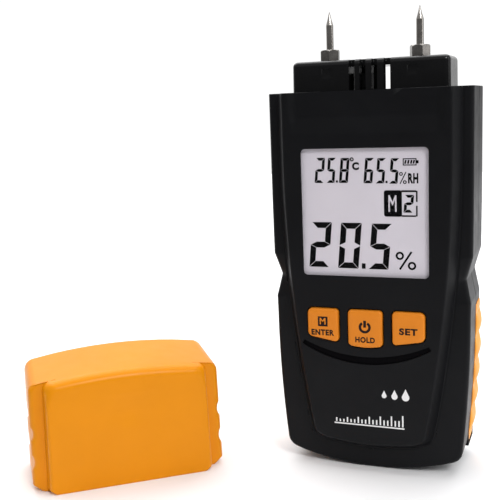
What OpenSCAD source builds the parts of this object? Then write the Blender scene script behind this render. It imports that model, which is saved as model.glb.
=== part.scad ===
// Handheld pin-type moisture meter with its push-on cap standing beside it.
// X runs to the right, Y to the back and Z up. The origin is at the middle of the foot.

/* [Case] */
// Width across the upper case
case_w = 62; // [58:0.5:66]
// Thickness from the raised front panel to the back
case_d = 30; // [29:0.5:32]
// Height of the shoulder that the probe head stands on
shoulder_z = 118.2; // [117:0.2:120]
// How far the front panel stands out of the side wings
panel_rise = 4; // [3:0.5:4.5]
// Wall thickness
wall = 2; // [1.6:0.1:2.2]
// Distance of the parting plane behind the pins
parting_y = 2; // [1.5:0.5:3]
// Depth of the waist notch in each side
notch_d = 1.9; // [1:0.1:2.4]

/* [Display] */
// Width of the display window
window_w = 38.5; // [36:0.1:40]
// Height of the display window
window_h = 38.7; // [36:0.1:40]
// Height of the window's lower edge
window_z = 62.6; // [61:0.1:63.5]
// Middle of the display and the buttons, to the right of the case's middle
controls_x = -0.5; // [-1:0.1:1]

/* [Buttons] */
// How far the buttons stand out of the panel
button_proud = 1.2; // [0.8:0.1:1.6]
// Travel of each button
button_travel = 0.7; // [0.4:0.1:0.7]
// Gap round each button
button_gap = 0.25; // [0.2:0.05:0.4]

/* [Probe head] */
// Width of the probe head
head_w = 48; // [44:0.5:49]
// Depth of the probe head
head_d = 18; // [16:0.5:19]
// Height of the probe head above the shoulder
head_h = 9.2; // [8:0.2:10]
// Distance between the two pins
pin_pitch = 27.8; // [26:0.2:30]
// Diameter of the pins
pin_d = 2.24; // [2:0.02:2.4]
// Height of the pin tips above the foot
pin_tip_z = 142.4; // [140:0.2:144]
// Length of each ground point
pin_point = 3.9; // [3:0.1:5]

/* [Battery bay] */
// Diameter of a cell
cell_d = 10.5; // [10:0.1:10.6]
// Length of a cell with its button
cell_l = 44.5; // [43.5:0.1:44.5]
// Thickness of the battery cover
cover_t = 1.5; // [1.2:0.1:1.6]

/* [Cap] */
// Height of the cap's sides
cap_h = 36; // [32:0.5:38]
// Rise of the domed top
cap_dome = 2.8; // [1.5:0.1:3]
// How much lower the top is at the front than at the back
cap_fall = 2.2; // [1:0.1:3]
// Half the width of the cap at its foot
cap_half_w = 30.3; // [29.5:0.1:31]
// Depth of the cap
cap_d = 30; // [28:0.5:31]
// Wall of the cap
cap_wall = 1.8; // [1.5:0.1:2]
// Where the cap stands, to the left of the meter
cap_x = -77.9; // [-90:0.1:-75]
// Where the cap stands, to the front of the pins
cap_y = -30.8; // [-34:0.1:-20]
// How far the cap is turned
cap_turn = 38; // [0:1:45]

/* [Hidden] */
$fn = 48;
eps = 0.01;

panel_y = -case_d / 2;
wing_y = panel_y + panel_rise;
back_y = case_d / 2;
half_w = case_w / 2;

// Sweeps of the case: the foot, the lower sides and the raised panel's sides
foot_r = 78;
foot_flat = 5;
lower_r = 400;
waist_z = 50;
waist_w = half_w - 0.7;
panel_r = 470;
panel_straight_z = 100;
panel_front_w = half_w - 5.6;
panel_foot_w = half_w - 3.3;
panel_low_z = 9.2;
groove_w = 0.6;
groove_d = 0.2;

// The brow: the panel steps back above the display
brow_z0 = 105.2;
brow_z1 = 110.8;
brow_d = 1;

// Insides of the front half
skin_y = panel_y + wall;
rebate_y = panel_y + 0.6;
lens_y = panel_y + 0.3;
lens_flange_t = 0.5;
glass_y = rebate_y + lens_flange_t + 0.15;
glass_t = 2.2;
glass_w = window_w + 2;
glass_h = window_h + 2;
zebra_w = 36;
board_y = -4;
board_t = 1.6;
board_back = board_y + board_t;
board_w = 48;
board_z0 = 34;
board_z1 = 112;
frame_rim = 1.2;
switch_h = 3;
plunger_h = 0.6;
plunger_y = board_y - switch_h - plunger_h;
stem_y = plunger_y - button_travel - 0.2;
flange_y = skin_y + 0.4;
flange_t = 0.9;
flange_w = 0.8;
key_top_z = 52.3;
side_key_x0 = 8.3;
side_key_x1 = 18.15;
hold_key_w = 5.35;
side_key_at = [13.2, 47.3];
hold_key_at = [0, 46.2];
wire_z = 105.5;
lead_x = 8;
lead_z = 70;

// Places of the fasteners
case_screw_at = [[24, 109.5], [-24, 109.5], [22.5, 20], [-22.5, 20]];
board_screw_at = [[15, 108.5], [-15, 108.5], [19.5, 37], [-19.5, 37]];
screw_seat_y = 8;

// Probe head
head_front_y = -8.5;
head_back_y = head_front_y + head_d;
head_top_z = shoulder_z + head_h;
head_low_z = shoulder_z - 5;
neck_in = 2;
flange_z1 = shoulder_z - 2.8;
bay_x0 = -6;
bay_x1 = 6.6;
vent_slots = [[-6, -4.2], [-2.7, -0.9], [0.9, 2.6], [4.6, 6.6]];
back_slots = [[-4, -1.9], [1.3, 3.5]];
vent_bar_d = 3.3;
vent_roof = 2;
pin_x = pin_pitch / 2;
thread_r = 1.45;
thread_gap = 0.03;
nut_h = 3.5;
nut_af = 5.5;
socket_r = 2.6;

// Battery bay
bay_w = 34;
bay_z0 = 11.5;
bay_z1 = 64;
bay_wall = 1.6;
bay_floor_y = 2.6;
cell_y = bay_floor_y + cell_d / 2 + 0.15;
cell_z = 16;
cell_pitch = cell_d + 0.4;
cover_w = 35.8;
cover_z0 = 14;
cover_z1 = 68;
cover_gap = 0.3;
cover_in_y = back_y - cover_t;
hinge_y = back_y - 1.1;
hinge_z = 12;
knuckle_x = 11;
knuckle_w = 5;
knuckle_r = 1.1;
axle_r = 0.7;
axle_l = 1.5;
axle_gap = 0.08;

// Ribbed grips
grip_z0 = 5.5;
grip_z1 = 51.5;
grip_y0 = parting_y + 0.6;
grip_y1 = 12.4;
rib_pitch = 7.9;
rib_top_z = 44.8;
rib_h = 1.1;

// --- Outlines in the XZ plane ---------------------------------------------------------

function unit(v) = v / norm(v);
function flat2(p) = [p.x, p.y];

// Points of the arc that rounds corner b by radius r between its neighbours a and c
function corner_arc(a, b, c, r, steps = 6) =
    let (
        u = unit(a - b),
        w = unit(c - b),
        half = acos(u * w) / 2,
        mid = b + unit(u + w) * r / sin(half),
        p = b + u * r / tan(half) - mid,
        q = b + w * r / tan(half) - mid,
        start = atan2(p.y, p.x),
        raw = atan2(q.y, q.x) - start,
        turn = raw > 180 ? raw - 360 : raw < -180 ? raw + 360 : raw
    )
    [for (i = [0:steps]) mid + r * [cos(start + turn * i / steps), sin(start + turn * i / steps)]];

// A closed outline from corners [x, z, radius]
function rounded(path) =
    let (n = len(path))
    [
        for (i = [0:n - 1])
            let (a = flat2(path[(i + n - 1) % n]), b = flat2(path[i]), c = flat2(path[(i + 1) % n]))
            each (path[i].z == 0 ? [b] : corner_arc(a, b, c, path[i].z))
    ];

// The whole of a symmetric outline from its right half, listed from the foot up
function mirrored(half) =
    concat(half, [for (i = [len(half) - 1:-1:0]) if (half[i].x > 0) [-half[i].x, half[i].y, half[i].z]]);

function foot_sweep(x) = sqrt(foot_r * foot_r - foot_flat * foot_flat) - sqrt(foot_r * foot_r - x * x);
function lower_side(z) = waist_w - pow(waist_z - z, 2) / (2 * lower_r);
function panel_side(top_w, z) =
    top_w - (z < panel_straight_z ? pow(panel_straight_z - z, 2) / (2 * panel_r) : 0);

case_outline = rounded(mirrored(concat(
    [[foot_flat, 0, 0]],
    [for (x = [8:5:23]) [x, foot_sweep(x), 0]],
    [[lower_side(5), foot_sweep(lower_side(5)), 4]],
    [for (z = [14:12:50]) [lower_side(z), z, 0]],
    [
        [half_w - 0.6, 54.5, 2],
        [half_w - 0.2 - notch_d, 61.6, 1.5],
        [half_w - 0.1, 68.5, 3],
        [half_w, 85, 0],
        [half_w, shoulder_z, 0]
    ]
)));

// The raised panel's outline, top_w wide on each side and starting low_z above the foot
function panel_outline(top_w, low_z, corner_r) =
    rounded(mirrored(concat(
        [[0, low_z, 0]],
        [for (x = [6, 12]) [x, low_z + x * x / (2 * foot_r), 0]],
        [[panel_side(top_w, low_z + 2), low_z + 2.2, corner_r]],
        [for (z = [20:16:100]) [panel_side(top_w, z), z, 0]],
        [[top_w, shoulder_z, 0]]
    )));

function box_outline(w, h, z0, r) =
    rounded([[w / 2, z0, r], [w / 2, z0 + h, r], [-w / 2, z0 + h, r], [-w / 2, z0, r]]);

// Outlines of the right and the middle button, about the middle of the controls
side_button_outline = rounded([
    [side_key_x0, key_top_z, 1.2], [side_key_x1, key_top_z, 1.6],
    [side_key_x1, 43.2, 1.8], [side_key_x0, 41.5, 1.2]
]);
hold_button_outline = rounded([
    [-hold_key_w, key_top_z, 1.2], [hold_key_w, key_top_z, 1.2], [hold_key_w, 40.9, 1.4], [0, 40.2, 20],
    [-hold_key_w, 40.9, 1.4]
]);

// --- Shared shapes ---------------------------------------------------------------------

// Extrudes an XZ outline from y0 to y1
module slab(y0, y1) {
    translate([0, y1, 0])
        rotate([90, 0, 0])
            linear_extrude(y1 - y0)
                children();
}

// A box between two corners
module block(low, high) {
    translate(low)
        cube(high - low);
}

// A rod along Y
module rod_y(x, z, y0, y1, r) {
    translate([x, y1, z])
        rotate([90, 0, 0])
            cylinder(h = y1 - y0, r = r);
}

// A rod along X
module rod_x(y, z, x0, x1, r) {
    translate([x0, y, z])
        rotate([0, 90, 0])
            cylinder(h = x1 - x0, r = r);
}

// Rounds the case's upright edges: small at the front, large at the back
module plan_limit(inset, front_r, back_r) {
    w = half_w - inset;
    linear_extrude(shoulder_z + 1)
        polygon(rounded([
            [w, wing_y, front_r], [w, back_y - inset, back_r],
            [-w, back_y - inset, back_r], [-w, wing_y, front_r]
        ]));
}

// Rounds the case's level edges
module side_limit() {
    rotate([90, 0, 90])
        linear_extrude(case_w + 2, center = true)
            polygon(rounded([
                [wing_y, 0, 1], [back_y, 0, 3], [back_y, shoulder_z, 2], [wing_y, shoulder_z, 0]
            ]));
}

module case_body(y0, y1) {
    intersection() {
        slab(y0, y1)
            polygon(case_outline);
        plan_limit(0, 1.2, 4);
        side_limit();
    }
}

module case_cavity(y0, y1) {
    intersection() {
        slab(y0, y1)
            offset(delta = -wall)
                polygon(case_outline);
        plan_limit(wall - 0.2, 1, 3);
    }
}

// The opening in the shoulder for the probe head's neck
module neck_opening() {
    gap = 0.2;
    block(
        [-head_w / 2 + neck_in - gap, head_front_y + neck_in - gap, shoulder_z - wall - 1],
        [head_w / 2 - neck_in + gap, head_back_y - neck_in + gap, shoulder_z + 1]
    );
}

// The hollow that a thumb presses at the cover's latch end
module thumb_scoop() {
    translate([0, back_y + 16.6, cover_z1 + 3])
        rotate([0, 90, 0])
            cylinder(h = 12, r = 17.4, center = true, $fn = 96);
}

module button_hole(outline) {
    slab(panel_y - 1, skin_y + 1)
        offset(r = button_gap)
            polygon(outline);
}

// --- Case ------------------------------------------------------------------------------

module raised_panel() {
    difference() {
        hull() {
            slab(panel_y, panel_y + eps)
                polygon(panel_outline(panel_front_w, panel_low_z, 3));
            slab(wing_y, wing_y + eps)
                polygon(panel_outline(panel_foot_w, panel_low_z - 2.4, 4));
        }
        // Brow
        rotate([90, 0, 90])
            linear_extrude(case_w, center = true)
                polygon([
                    [panel_y - 1, brow_z0 - 1], [panel_y, brow_z0], [panel_y + brow_d, brow_z1],
                    [panel_y + brow_d, shoulder_z + 1], [panel_y - 1, shoulder_z + 1]
                ]);
    }
}

module panel_groove() {
    slab(wing_y - 1, wing_y + groove_d)
        difference() {
            polygon(panel_outline(panel_foot_w + groove_w, panel_low_z - 2.4 - groove_w, 4));
            polygon(panel_outline(panel_foot_w, panel_low_z - 2.4, 4));
            translate([0, shoulder_z])
                square([2 * panel_foot_w, 2 * groove_w], center = true);
        }
}

// The curved groove under the buttons
module smile_groove() {
    smile_r = 41.3;
    smile_w = 2.1;
    smile_d = 0.8;
    centre_z = 77.5;
    end_a = 28;
    slab(panel_y - 1, panel_y + smile_d)
        translate([controls_x, centre_z]) {
            intersection() {
                difference() {
                    circle(smile_r + smile_w / 2, $fn = 160);
                    circle(smile_r - smile_w / 2, $fn = 160);
                }
                polygon([[0, 0], 60 * [sin(end_a), -cos(end_a)], [0, -80], 60 * [-sin(end_a), -cos(end_a)]]);
            }
            for (side = [-1, 1])
                translate(smile_r * [side * sin(end_a), -cos(end_a)])
                    circle(smile_w / 2);
        }
}

module front_bosses() {
    for (at = case_screw_at)
        rod_y(at.x, at.y, wing_y + 1, parting_y - 0.1, 2.6);
    for (at = board_screw_at)
        rod_y(at.x, at.y, skin_y - 1, board_y - 0.05, 2.2);
}

module front_shell() {
    color("#26282b")
        difference() {
            union() {
                difference() {
                    union() {
                        case_body(wing_y, parting_y);
                        raised_panel();
                    }
                    case_cavity(wing_y + wall - 0.2, parting_y + 1);
                    // Hollow behind the raised panel
                    slab(skin_y, wing_y + wall)
                        polygon(panel_outline(panel_front_w - 2, panel_low_z + 2, 2));
                }
                // Closes the hollow at the shoulder
                block(
                    [-panel_front_w, skin_y - 0.5, shoulder_z - wall],
                    [panel_front_w, wing_y + wall, shoulder_z]
                );
                intersection() {
                    front_bosses();
                    slab(panel_y + 0.5, parting_y)
                        polygon(case_outline);
                }
            }
            panel_groove();
            smile_groove();
            translate([controls_x, 0, 0]) {
                slab(panel_y - 1, skin_y + 1)
                    polygon(box_outline(window_w, window_h, window_z, 1.3));
                // Rebate that seats the lens and the glass
                slab(rebate_y, skin_y + 1)
                    polygon(box_outline(window_w + 2.4, window_h + 2.4, window_z - 1.2, 1.5));
                button_hole(side_button_outline);
                mirror([1, 0, 0])
                    button_hole(side_button_outline);
                button_hole(hold_button_outline);
            }
            neck_opening();
            for (at = case_screw_at)
                rod_y(at.x, at.y, -7, parting_y + 1, 1.3);
            for (at = board_screw_at)
                rod_y(at.x, at.y, -9, board_y + 1, 1);
        }
}

// The bay's walls, standing in from the back
module bay_box() {
    block(
        [-bay_w / 2 - bay_wall, bay_floor_y - 1.4, bay_z0 - bay_wall],
        [bay_w / 2 + bay_wall, back_y - wall + 0.3, bay_z1 + bay_wall]
    );
    // Shelf under the cover's latch end
    block([-bay_w / 2 - bay_wall, 11.6, bay_z1], [bay_w / 2 + bay_wall, back_y - wall + 0.3, cover_z1 + 2]);
}

// Lugs that carry the cover's axles
module hinge_lugs() {
    for (side = [-1, 1], off = [-1, 1])
        translate([side * knuckle_x + off * (knuckle_w / 2 + 1.6), 0, 0])
            block([-1.3, 11.8, hinge_z - 1.8], [1.3, back_y - 0.2, hinge_z + 1.6]);
}

module grip_recess(side) {
    gap = 0.05;
    mirror([side < 0 ? 1 : 0, 0, 0])
        slab(grip_y0 - gap, grip_y1 + gap)
            polygon(concat(
                [for (z = [grip_z0 - gap, 17, 28, 39, grip_z1 + gap]) [lower_side(z) - 1, z]],
                [[half_w + 2, grip_z1 + gap], [half_w + 2, grip_z0 - gap]]
            ));
}

// The rear shell's wall behind a grip
module grip_backing(side) {
    intersection() {
        case_body(grip_y0 - 0.5, grip_y1 + 1);
        mirror([side < 0 ? 1 : 0, 0, 0])
            slab(grip_y0 - 1, grip_y1 + 1)
                polygon(concat(
                    [for (z = [5, 16, 28, 40, 52]) [lower_side(z) - 2.6, z]],
                    [[half_w, 52], [half_w, 5]]
                ));
    }
}

module rear_shell() {
    color("#222427")
        difference() {
            union() {
                difference() {
                    case_body(parting_y, back_y);
                    case_cavity(parting_y - 1, back_y - wall + 0.2);
                }
                bay_box();
                hinge_lugs();
                intersection() {
                    for (at = case_screw_at)
                        rod_y(at.x, at.y, parting_y + 0.1, back_y - 1, 3.6);
                    case_body(parting_y, back_y);
                }
                for (side = [-1, 1])
                    grip_backing(side);
            }
            // Bay
            block([-bay_w / 2, bay_floor_y, bay_z0], [bay_w / 2, back_y - wall + 0.4, bay_z1]);
            // Cover opening
            block(
                [-cover_w / 2 - cover_gap, back_y - wall + 0.2, cover_z0 - cover_gap - 0.2],
                [cover_w / 2 + cover_gap, back_y + 1, cover_z1 + cover_gap]
            );
            for (side = [-1, 1]) {
                // Slots for the cover's knuckles
                block(
                    [side * knuckle_x - knuckle_w / 2 - 0.3, hinge_y - 1.5, hinge_z - 1.5],
                    [side * knuckle_x + knuckle_w / 2 + 0.3, back_y + 1, cover_z0]
                );
                rod_x(
                    hinge_y, hinge_z, side * knuckle_x - knuckle_w / 2 - axle_l - 0.2,
                    side * knuckle_x + knuckle_w / 2 + axle_l + 0.2, axle_r + axle_gap
                );
                grip_recess(side);
            }
            neck_opening();
            for (at = case_screw_at) {
                rod_y(at.x, at.y, parting_y - 1, back_y + 1, 1.5);
                rod_y(at.x, at.y, screw_seat_y, back_y + 1, 2.8);
            }
            thumb_scoop();
        }
}

// Height of the scalloped ribs above the case's side
function rib(z) = rib_h * abs(cos(180 * (z - rib_top_z) / rib_pitch));

module side_grip() {
    steps = 46;
    slab(grip_y0, grip_y1)
        polygon(concat(
            [for (z = [grip_z0, 17, 28, 39, grip_z1]) [lower_side(z) - 0.95, z]],
            [for (i = [steps:-1:0])
                let (
                    z = grip_z0 + (grip_z1 - grip_z0) * i / steps,
                    ends = min(1, (grip_z1 - z) / 3, (z - grip_z0) / 5)
                )
                [lower_side(z) + 0.15 + ends * rib(z), z]]
        ));
}

module left_grip() {
    color("#ee9a24")
        mirror([1, 0, 0])
            side_grip();
}

module right_grip() {
    color("#ee9a24")
        side_grip();
}

module case_screws() {
    color("#8a8c90")
        for (at = case_screw_at)
            difference() {
                union() {
                    rod_y(at.x, at.y, screw_seat_y + 0.02, screw_seat_y + 1.9, 2.5);
                    rod_y(at.x, at.y, -5.5, screw_seat_y + 0.5, 1.25);
                }
                // Cross recess
                for (turn = [0, 90])
                    translate([at.x, screw_seat_y + 2, at.y])
                        rotate([0, turn, 0])
                            cube([2.8, 2, 0.6], center = true);
            }
}

// --- Display and electronics ----------------------------------------------------------

module display_lens() {
    edge = 0.1;
    color("#dfe6ea", 0.4)
        translate([controls_x, 0, 0]) {
            slab(lens_y, rebate_y + 0.1)
                polygon(box_outline(window_w - 2 * edge, window_h - 2 * edge, window_z + edge, 1.2));
            slab(rebate_y + 0.05, rebate_y + lens_flange_t)
                polygon(box_outline(glass_w, glass_h, window_z - 1, 1.5));
        }
}

module lcd_glass() {
    color("#c9c6cf")
        translate([controls_x, 0, 0])
            slab(glass_y, glass_y + glass_t)
                polygon(box_outline(glass_w, glass_h, window_z - 1, 0.4));
}

module lcd_frame() {
    pocket = 0.15;
    color("#e8e8e4")
        translate([controls_x, 0, 0])
            difference() {
                slab(skin_y + 0.1, board_y - 0.1)
                    polygon(box_outline(
                        glass_w + 2 * frame_rim, glass_h + 2 * frame_rim, window_z - 1 - frame_rim, 1
                    ));
                slab(glass_y - 1, glass_y + glass_t + 0.1)
                    polygon(box_outline(
                        glass_w + 2 * pocket, glass_h + 2 * pocket, window_z - 1 - pocket, 0.4
                    ));
                // Slot for the elastomer strip
                block(
                    [-zebra_w / 2 - 0.3, glass_y, window_z - 0.5],
                    [zebra_w / 2 + 0.3, board_y + 1, window_z + 1.7]
                );
            }
}

module zebra_strip() {
    color("#b9a7c4")
        translate([controls_x, 0, 0])
            block(
                [-zebra_w / 2, glass_y + glass_t + 0.05, window_z - 0.3],
                [zebra_w / 2, board_y - 0.05, window_z + 1.5]
            );
}

module circuit_board() {
    color("#1f6b45")
        difference() {
            slab(board_y, board_back)
                polygon(box_outline(board_w, board_z1 - board_z0, board_z0, 1));
            for (at = case_screw_at)
                rod_y(at.x, at.y, board_y - 1, board_back + 1, 3);
            for (at = board_screw_at)
                rod_y(at.x, at.y, board_y - 1, board_back + 1, 1.2);
            for (side = [-1, 1])
                rod_y(side * pin_x, wire_z, board_y - 1, board_back + 1, 0.7);
        }
}

module board_screws() {
    color("#b9bbbe")
        for (at = board_screw_at) {
            rod_y(at.x, at.y, board_back + 0.03, board_back + 1.3, 1.8);
            rod_y(at.x, at.y, -8.5, board_back + 0.1, 0.95);
        }
}

module main_chip() {
    legs = 7;
    color("#1b1c1e") {
        block([-10.5, board_back + 0.35, 80], [-1.5, board_back + 1.7, 89]);
        for (i = [0:legs - 1]) {
            level = 81 + i * 7 / (legs - 1);
            block([-11.8, board_back + 0.03, level - 0.25], [-0.2, board_back + 0.5, level + 0.25]);
        }
    }
}

module crystal() {
    color("#c4c7cb")
        slab(board_back + 0.05, board_back + 2.6)
            hull() {
                translate([4, 84.5])
                    circle(1.9);
                translate([10, 84.5])
                    circle(1.9);
            }
}

module capacitors() {
    color("#2c3e66")
        for (at = [[-16, 96, 2.5], [-9.5, 97, 2], [-17, 78, 2.2]])
            rod_y(at.x, at.y, board_back + 0.05, board_back + 5.4, at.z);
}

module buzzer() {
    color("#15161a")
        difference() {
            rod_y(11, 97, board_back + 0.05, board_back + 6, 4.8);
            rod_y(11, 97, board_back + 4.5, board_back + 7, 0.9);
        }
}

module key_switch(x, z) {
    block([x - 3, board_y - switch_h, z - 3], [x + 3, board_y - 0.03, z + 3]);
    rod_y(x, z, plunger_y, board_y - switch_h + 0.1, 1.7);
}

module key_switches() {
    color("#202226")
        translate([controls_x, 0, 0]) {
            key_switch(-side_key_at.x, side_key_at.y);
            key_switch(hold_key_at.x, hold_key_at.y);
            key_switch(side_key_at.x, side_key_at.y);
        }
}

// --- Buttons ---------------------------------------------------------------------------

module key_cap(outline, at) {
    color("#ef9d26")
        union() {
            slab(panel_y - button_proud, flange_y + 0.1)
                polygon(outline);
            slab(flange_y, flange_y + flange_t)
                offset(r = flange_w)
                    polygon(outline);
            rod_y(at.x, at.y, flange_y + 0.5, stem_y, 1.5);
        }
}

module enter_button() {
    translate([controls_x, 0, 0])
        mirror([1, 0, 0])
            key_cap(side_button_outline, side_key_at);
}

module hold_button() {
    translate([controls_x, 0, 0])
        key_cap(hold_button_outline, hold_key_at);
}

module set_button() {
    translate([controls_x, 0, 0])
        key_cap(side_button_outline, side_key_at);
}

// --- Probe head ------------------------------------------------------------------------

module probe_head() {
    edge_r = 1.8;
    color("#101113")
        difference() {
            union() {
                intersection() {
                    block([-head_w / 2, head_front_y, shoulder_z + 0.02], [head_w / 2, head_back_y, head_top_z]);
                    slab(head_front_y - 1, head_back_y + 1)
                        polygon(rounded([
                            [head_w / 2, shoulder_z - 1, 0], [head_w / 2, head_top_z, edge_r],
                            [-head_w / 2, head_top_z, edge_r], [-head_w / 2, shoulder_z - 1, 0]
                        ]));
                    linear_extrude(200)
                        polygon(rounded([
                            [head_w / 2, head_front_y, edge_r], [head_w / 2, head_back_y, edge_r],
                            [-head_w / 2, head_back_y, edge_r], [-head_w / 2, head_front_y, edge_r]
                        ]));
                }
                block(
                    [-head_w / 2 + neck_in, head_front_y + neck_in, head_low_z],
                    [head_w / 2 - neck_in, head_back_y - neck_in, shoulder_z + 0.1]
                );
                block(
                    [-head_w / 2 - 0.5, head_front_y + 1, head_low_z],
                    [head_w / 2 + 0.5, head_back_y - 1, flange_z1]
                );
            }
            for (slot = vent_slots)
                block(
                    [slot[0], head_front_y - 1, shoulder_z + 0.02],
                    [slot[1], head_front_y + vent_bar_d + 0.1, head_top_z + 1]
                );
            for (slot = back_slots)
                block(
                    [slot[0], head_back_y - vent_bar_d - 0.1, shoulder_z + 0.02],
                    [slot[1], head_back_y + 1, head_top_z - vent_roof]
                );
            block(
                [bay_x0, head_front_y + vent_bar_d, head_low_z - 1],
                [bay_x1, head_back_y - vent_bar_d, head_top_z - vent_roof]
            );
            for (side = [-1, 1]) {
                translate([side * pin_x, 0, head_low_z - 1])
                    cylinder(h = head_top_z - head_low_z + 2, r = socket_r + 0.03);
                // Square recess in the front face
                block([side * 13 - 1.6, head_front_y - 1, 121.7], [side * 13 + 1.6, head_front_y + 0.8, 125]);
            }
        }
}

module head_seal() {
    gap = 0.05;
    color("#3a3b3e")
        difference() {
            block(
                [-head_w / 2 - 0.5, head_front_y + 1, flange_z1 + gap],
                [head_w / 2 + 0.5, head_back_y - 1, shoulder_z - wall - gap]
            );
            block(
                [-head_w / 2 + neck_in - gap, head_front_y + neck_in - gap, flange_z1 - 1],
                [head_w / 2 - neck_in + gap, head_back_y - neck_in + gap, shoulder_z]
            );
        }
}

module electrode_sockets() {
    color("#c9a04e")
        for (side = [-1, 1])
            translate([side * pin_x, 0, 0])
                difference() {
                    translate([0, 0, head_low_z + 0.2])
                        cylinder(h = head_top_z - head_low_z - 0.3, r = socket_r);
                    translate([0, 0, head_low_z + 1.2])
                        cylinder(h = 20, r = thread_r + thread_gap);
                }
}

module electrode_wires() {
    wire_r = 0.6;
    color("#b0302a")
        for (side = [-1, 1])
            union() {
                translate([side * pin_x, 0, wire_z])
                    cylinder(h = head_low_z + 0.15 - wire_z, r = wire_r);
                translate([side * pin_x, 0, wire_z])
                    sphere(wire_r);
                rod_y(side * pin_x, wire_z, board_y, 0, wire_r);
            }
}

module pin(side) {
    base_z = head_low_z + 1.3;
    color("#c8cace")
        translate([side * pin_x, 0, 0])
            union() {
                translate([0, 0, base_z])
                    cylinder(h = head_top_z + nut_h - base_z, r = thread_r);
                translate([0, 0, head_top_z])
                    cylinder(h = pin_tip_z - pin_point - head_top_z, d = pin_d);
                translate([0, 0, pin_tip_z - pin_point])
                    cylinder(h = pin_point, d1 = pin_d, d2 = 0.2);
            }
}

module left_pin() {
    pin(-1);
}

module right_pin() {
    pin(1);
}

module pin_nut(side, turn) {
    translate([side * pin_x, 0, head_top_z])
        rotate([0, 0, turn])
            difference() {
                cylinder(h = nut_h, d = nut_af / cos(30), $fn = 6);
                translate([0, 0, -1])
                    cylinder(h = nut_h + 2, r = thread_r + thread_gap, $fn = 48);
            }
}

module pin_nuts() {
    color("#b4b6ba") {
        pin_nut(-1, 38);
        pin_nut(1, -7);
    }
}

module sensor_board() {
    color("#1d5f3e")
        block([-5.4, -0.4, 106], [1.8, 0.4, 123.5]);
}

module humidity_sensor() {
    color("#2f3135")
        difference() {
            block([-3.2, -1.6, 119.2], [0.4, -0.43, 122.6]);
            rod_y(-1.4, 120.9, -2, -1.2, 0.8);
        }
}

module sensor_header() {
    color("#17181a")
        block([-4, board_back + 0.03, 107], [1, -0.43, 109.4]);
}

// --- Batteries -------------------------------------------------------------------------

module at_cells() {
    for (i = [-1:1])
        translate([i * cell_pitch, cell_y, 0])
            children();
}

module battery_cells() {
    button_l = 1;
    color("#3d4a5c")
        at_cells()
            union() {
                translate([0, 0, cell_z])
                    cylinder(h = cell_l - button_l, d = cell_d);
                translate([0, 0, cell_z])
                    cylinder(h = cell_l, r = 1.9);
            }
}

module battery_springs() {
    color("#c5c8cc")
        at_cells()
            rotate_extrude()
                polygon([
                    [3.4, bay_z0 + 0.5], [4, bay_z0 + 0.5], [2.9, cell_z - 0.05], [2.3, cell_z - 0.05]
                ]);
}

module battery_contacts() {
    color("#b9bcc0")
        at_cells() {
            block([-4.4, -4.4, bay_z0 + 0.05], [4.4, 4.4, bay_z0 + 0.45]);
            block([-4.4, -4.4, cell_z + cell_l + 0.05], [4.4, 4.4, cell_z + cell_l + 0.45]);
            // Spring tongue behind each button contact
            block([-2, -2, cell_z + cell_l + 0.4], [2, 2, bay_z1 - 0.05]);
        }
}

module battery_leads() {
    lead_r = 0.6;
    bend_y = 4;
    low_z = bay_z1 + bay_wall + 0.05;
    color("#a82a24")
        for (side = [-1, 1])
            union() {
                rod_y(side * lead_x, lead_z, board_back + 0.03, bend_y, lead_r);
                translate([side * lead_x, bend_y, lead_z])
                    sphere(lead_r);
                translate([side * lead_x, bend_y, low_z])
                    cylinder(h = lead_z - low_z, r = lead_r);
            }
}

module battery_cover() {
    grip_lines = 4;
    color("#26282b")
        union() {
            difference() {
                slab(cover_in_y, back_y)
                    polygon(box_outline(cover_w, cover_z1 - cover_z0, cover_z0, 0.8));
                thumb_scoop();
                // Finger grooves under the scoop
                for (i = [0:grip_lines - 1])
                    block([-6, back_y - 0.5, 56.5 + 1.8 * i], [6, back_y + 1, 57.3 + 1.8 * i]);
            }
            for (side = [-1, 1]) {
                x0 = side * knuckle_x - knuckle_w / 2;
                rod_x(hinge_y, hinge_z, x0, x0 + knuckle_w, knuckle_r);
                rod_x(hinge_y, hinge_z, x0 - axle_l, x0 + knuckle_w + axle_l, axle_r);
                block([x0, cover_in_y, hinge_z], [x0 + knuckle_w, hinge_y + 0.9, cover_z0 + 0.5]);
            }
        }
}

// --- Cap -------------------------------------------------------------------------------

cap_panel_y = -cap_d / 2;
cap_wing_y = cap_panel_y + panel_rise;
cap_back_y = cap_d / 2;
cap_taper = 0.7;
cap_panel_w = cap_half_w - 5;
cap_step_w = cap_half_w - 4.2;

function dome(x, w) = cap_dome * (1 - pow(x / w, 2));

// Outline of the cap: low_w and top_w on each side, with chamfered lower corners
function cap_outline(low_w, chamfer, corner_r, down = 0) =
    let (top_w = low_w - cap_taper)
    rounded(mirrored(concat(
        [[low_w - chamfer, 0, 0], [low_w, chamfer, 0], [top_w, cap_h - down, corner_r]],
        [for (k = [0.6, 0.3, 0]) [k * top_w, cap_h - down + dome(k, 1), 0]]
    )));

// The space inside, open at the foot; its top lies lower by front_down at y0 and by back_down at y1
module cap_space(low_w, y0, y1, front_down, back_down) {
    top_w = low_w - cap_taper;
    hull()
        for (end = [[y0, front_down], [y1 - eps, back_down]])
            slab(end[0], end[0] + eps)
                polygon([
                    [low_w, -1], [top_w, cap_h - end[1] - 1], [0, cap_h + cap_dome - end[1]],
                    [-top_w, cap_h - end[1] - 1], [-low_w, -1]
                ]);
}

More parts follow.
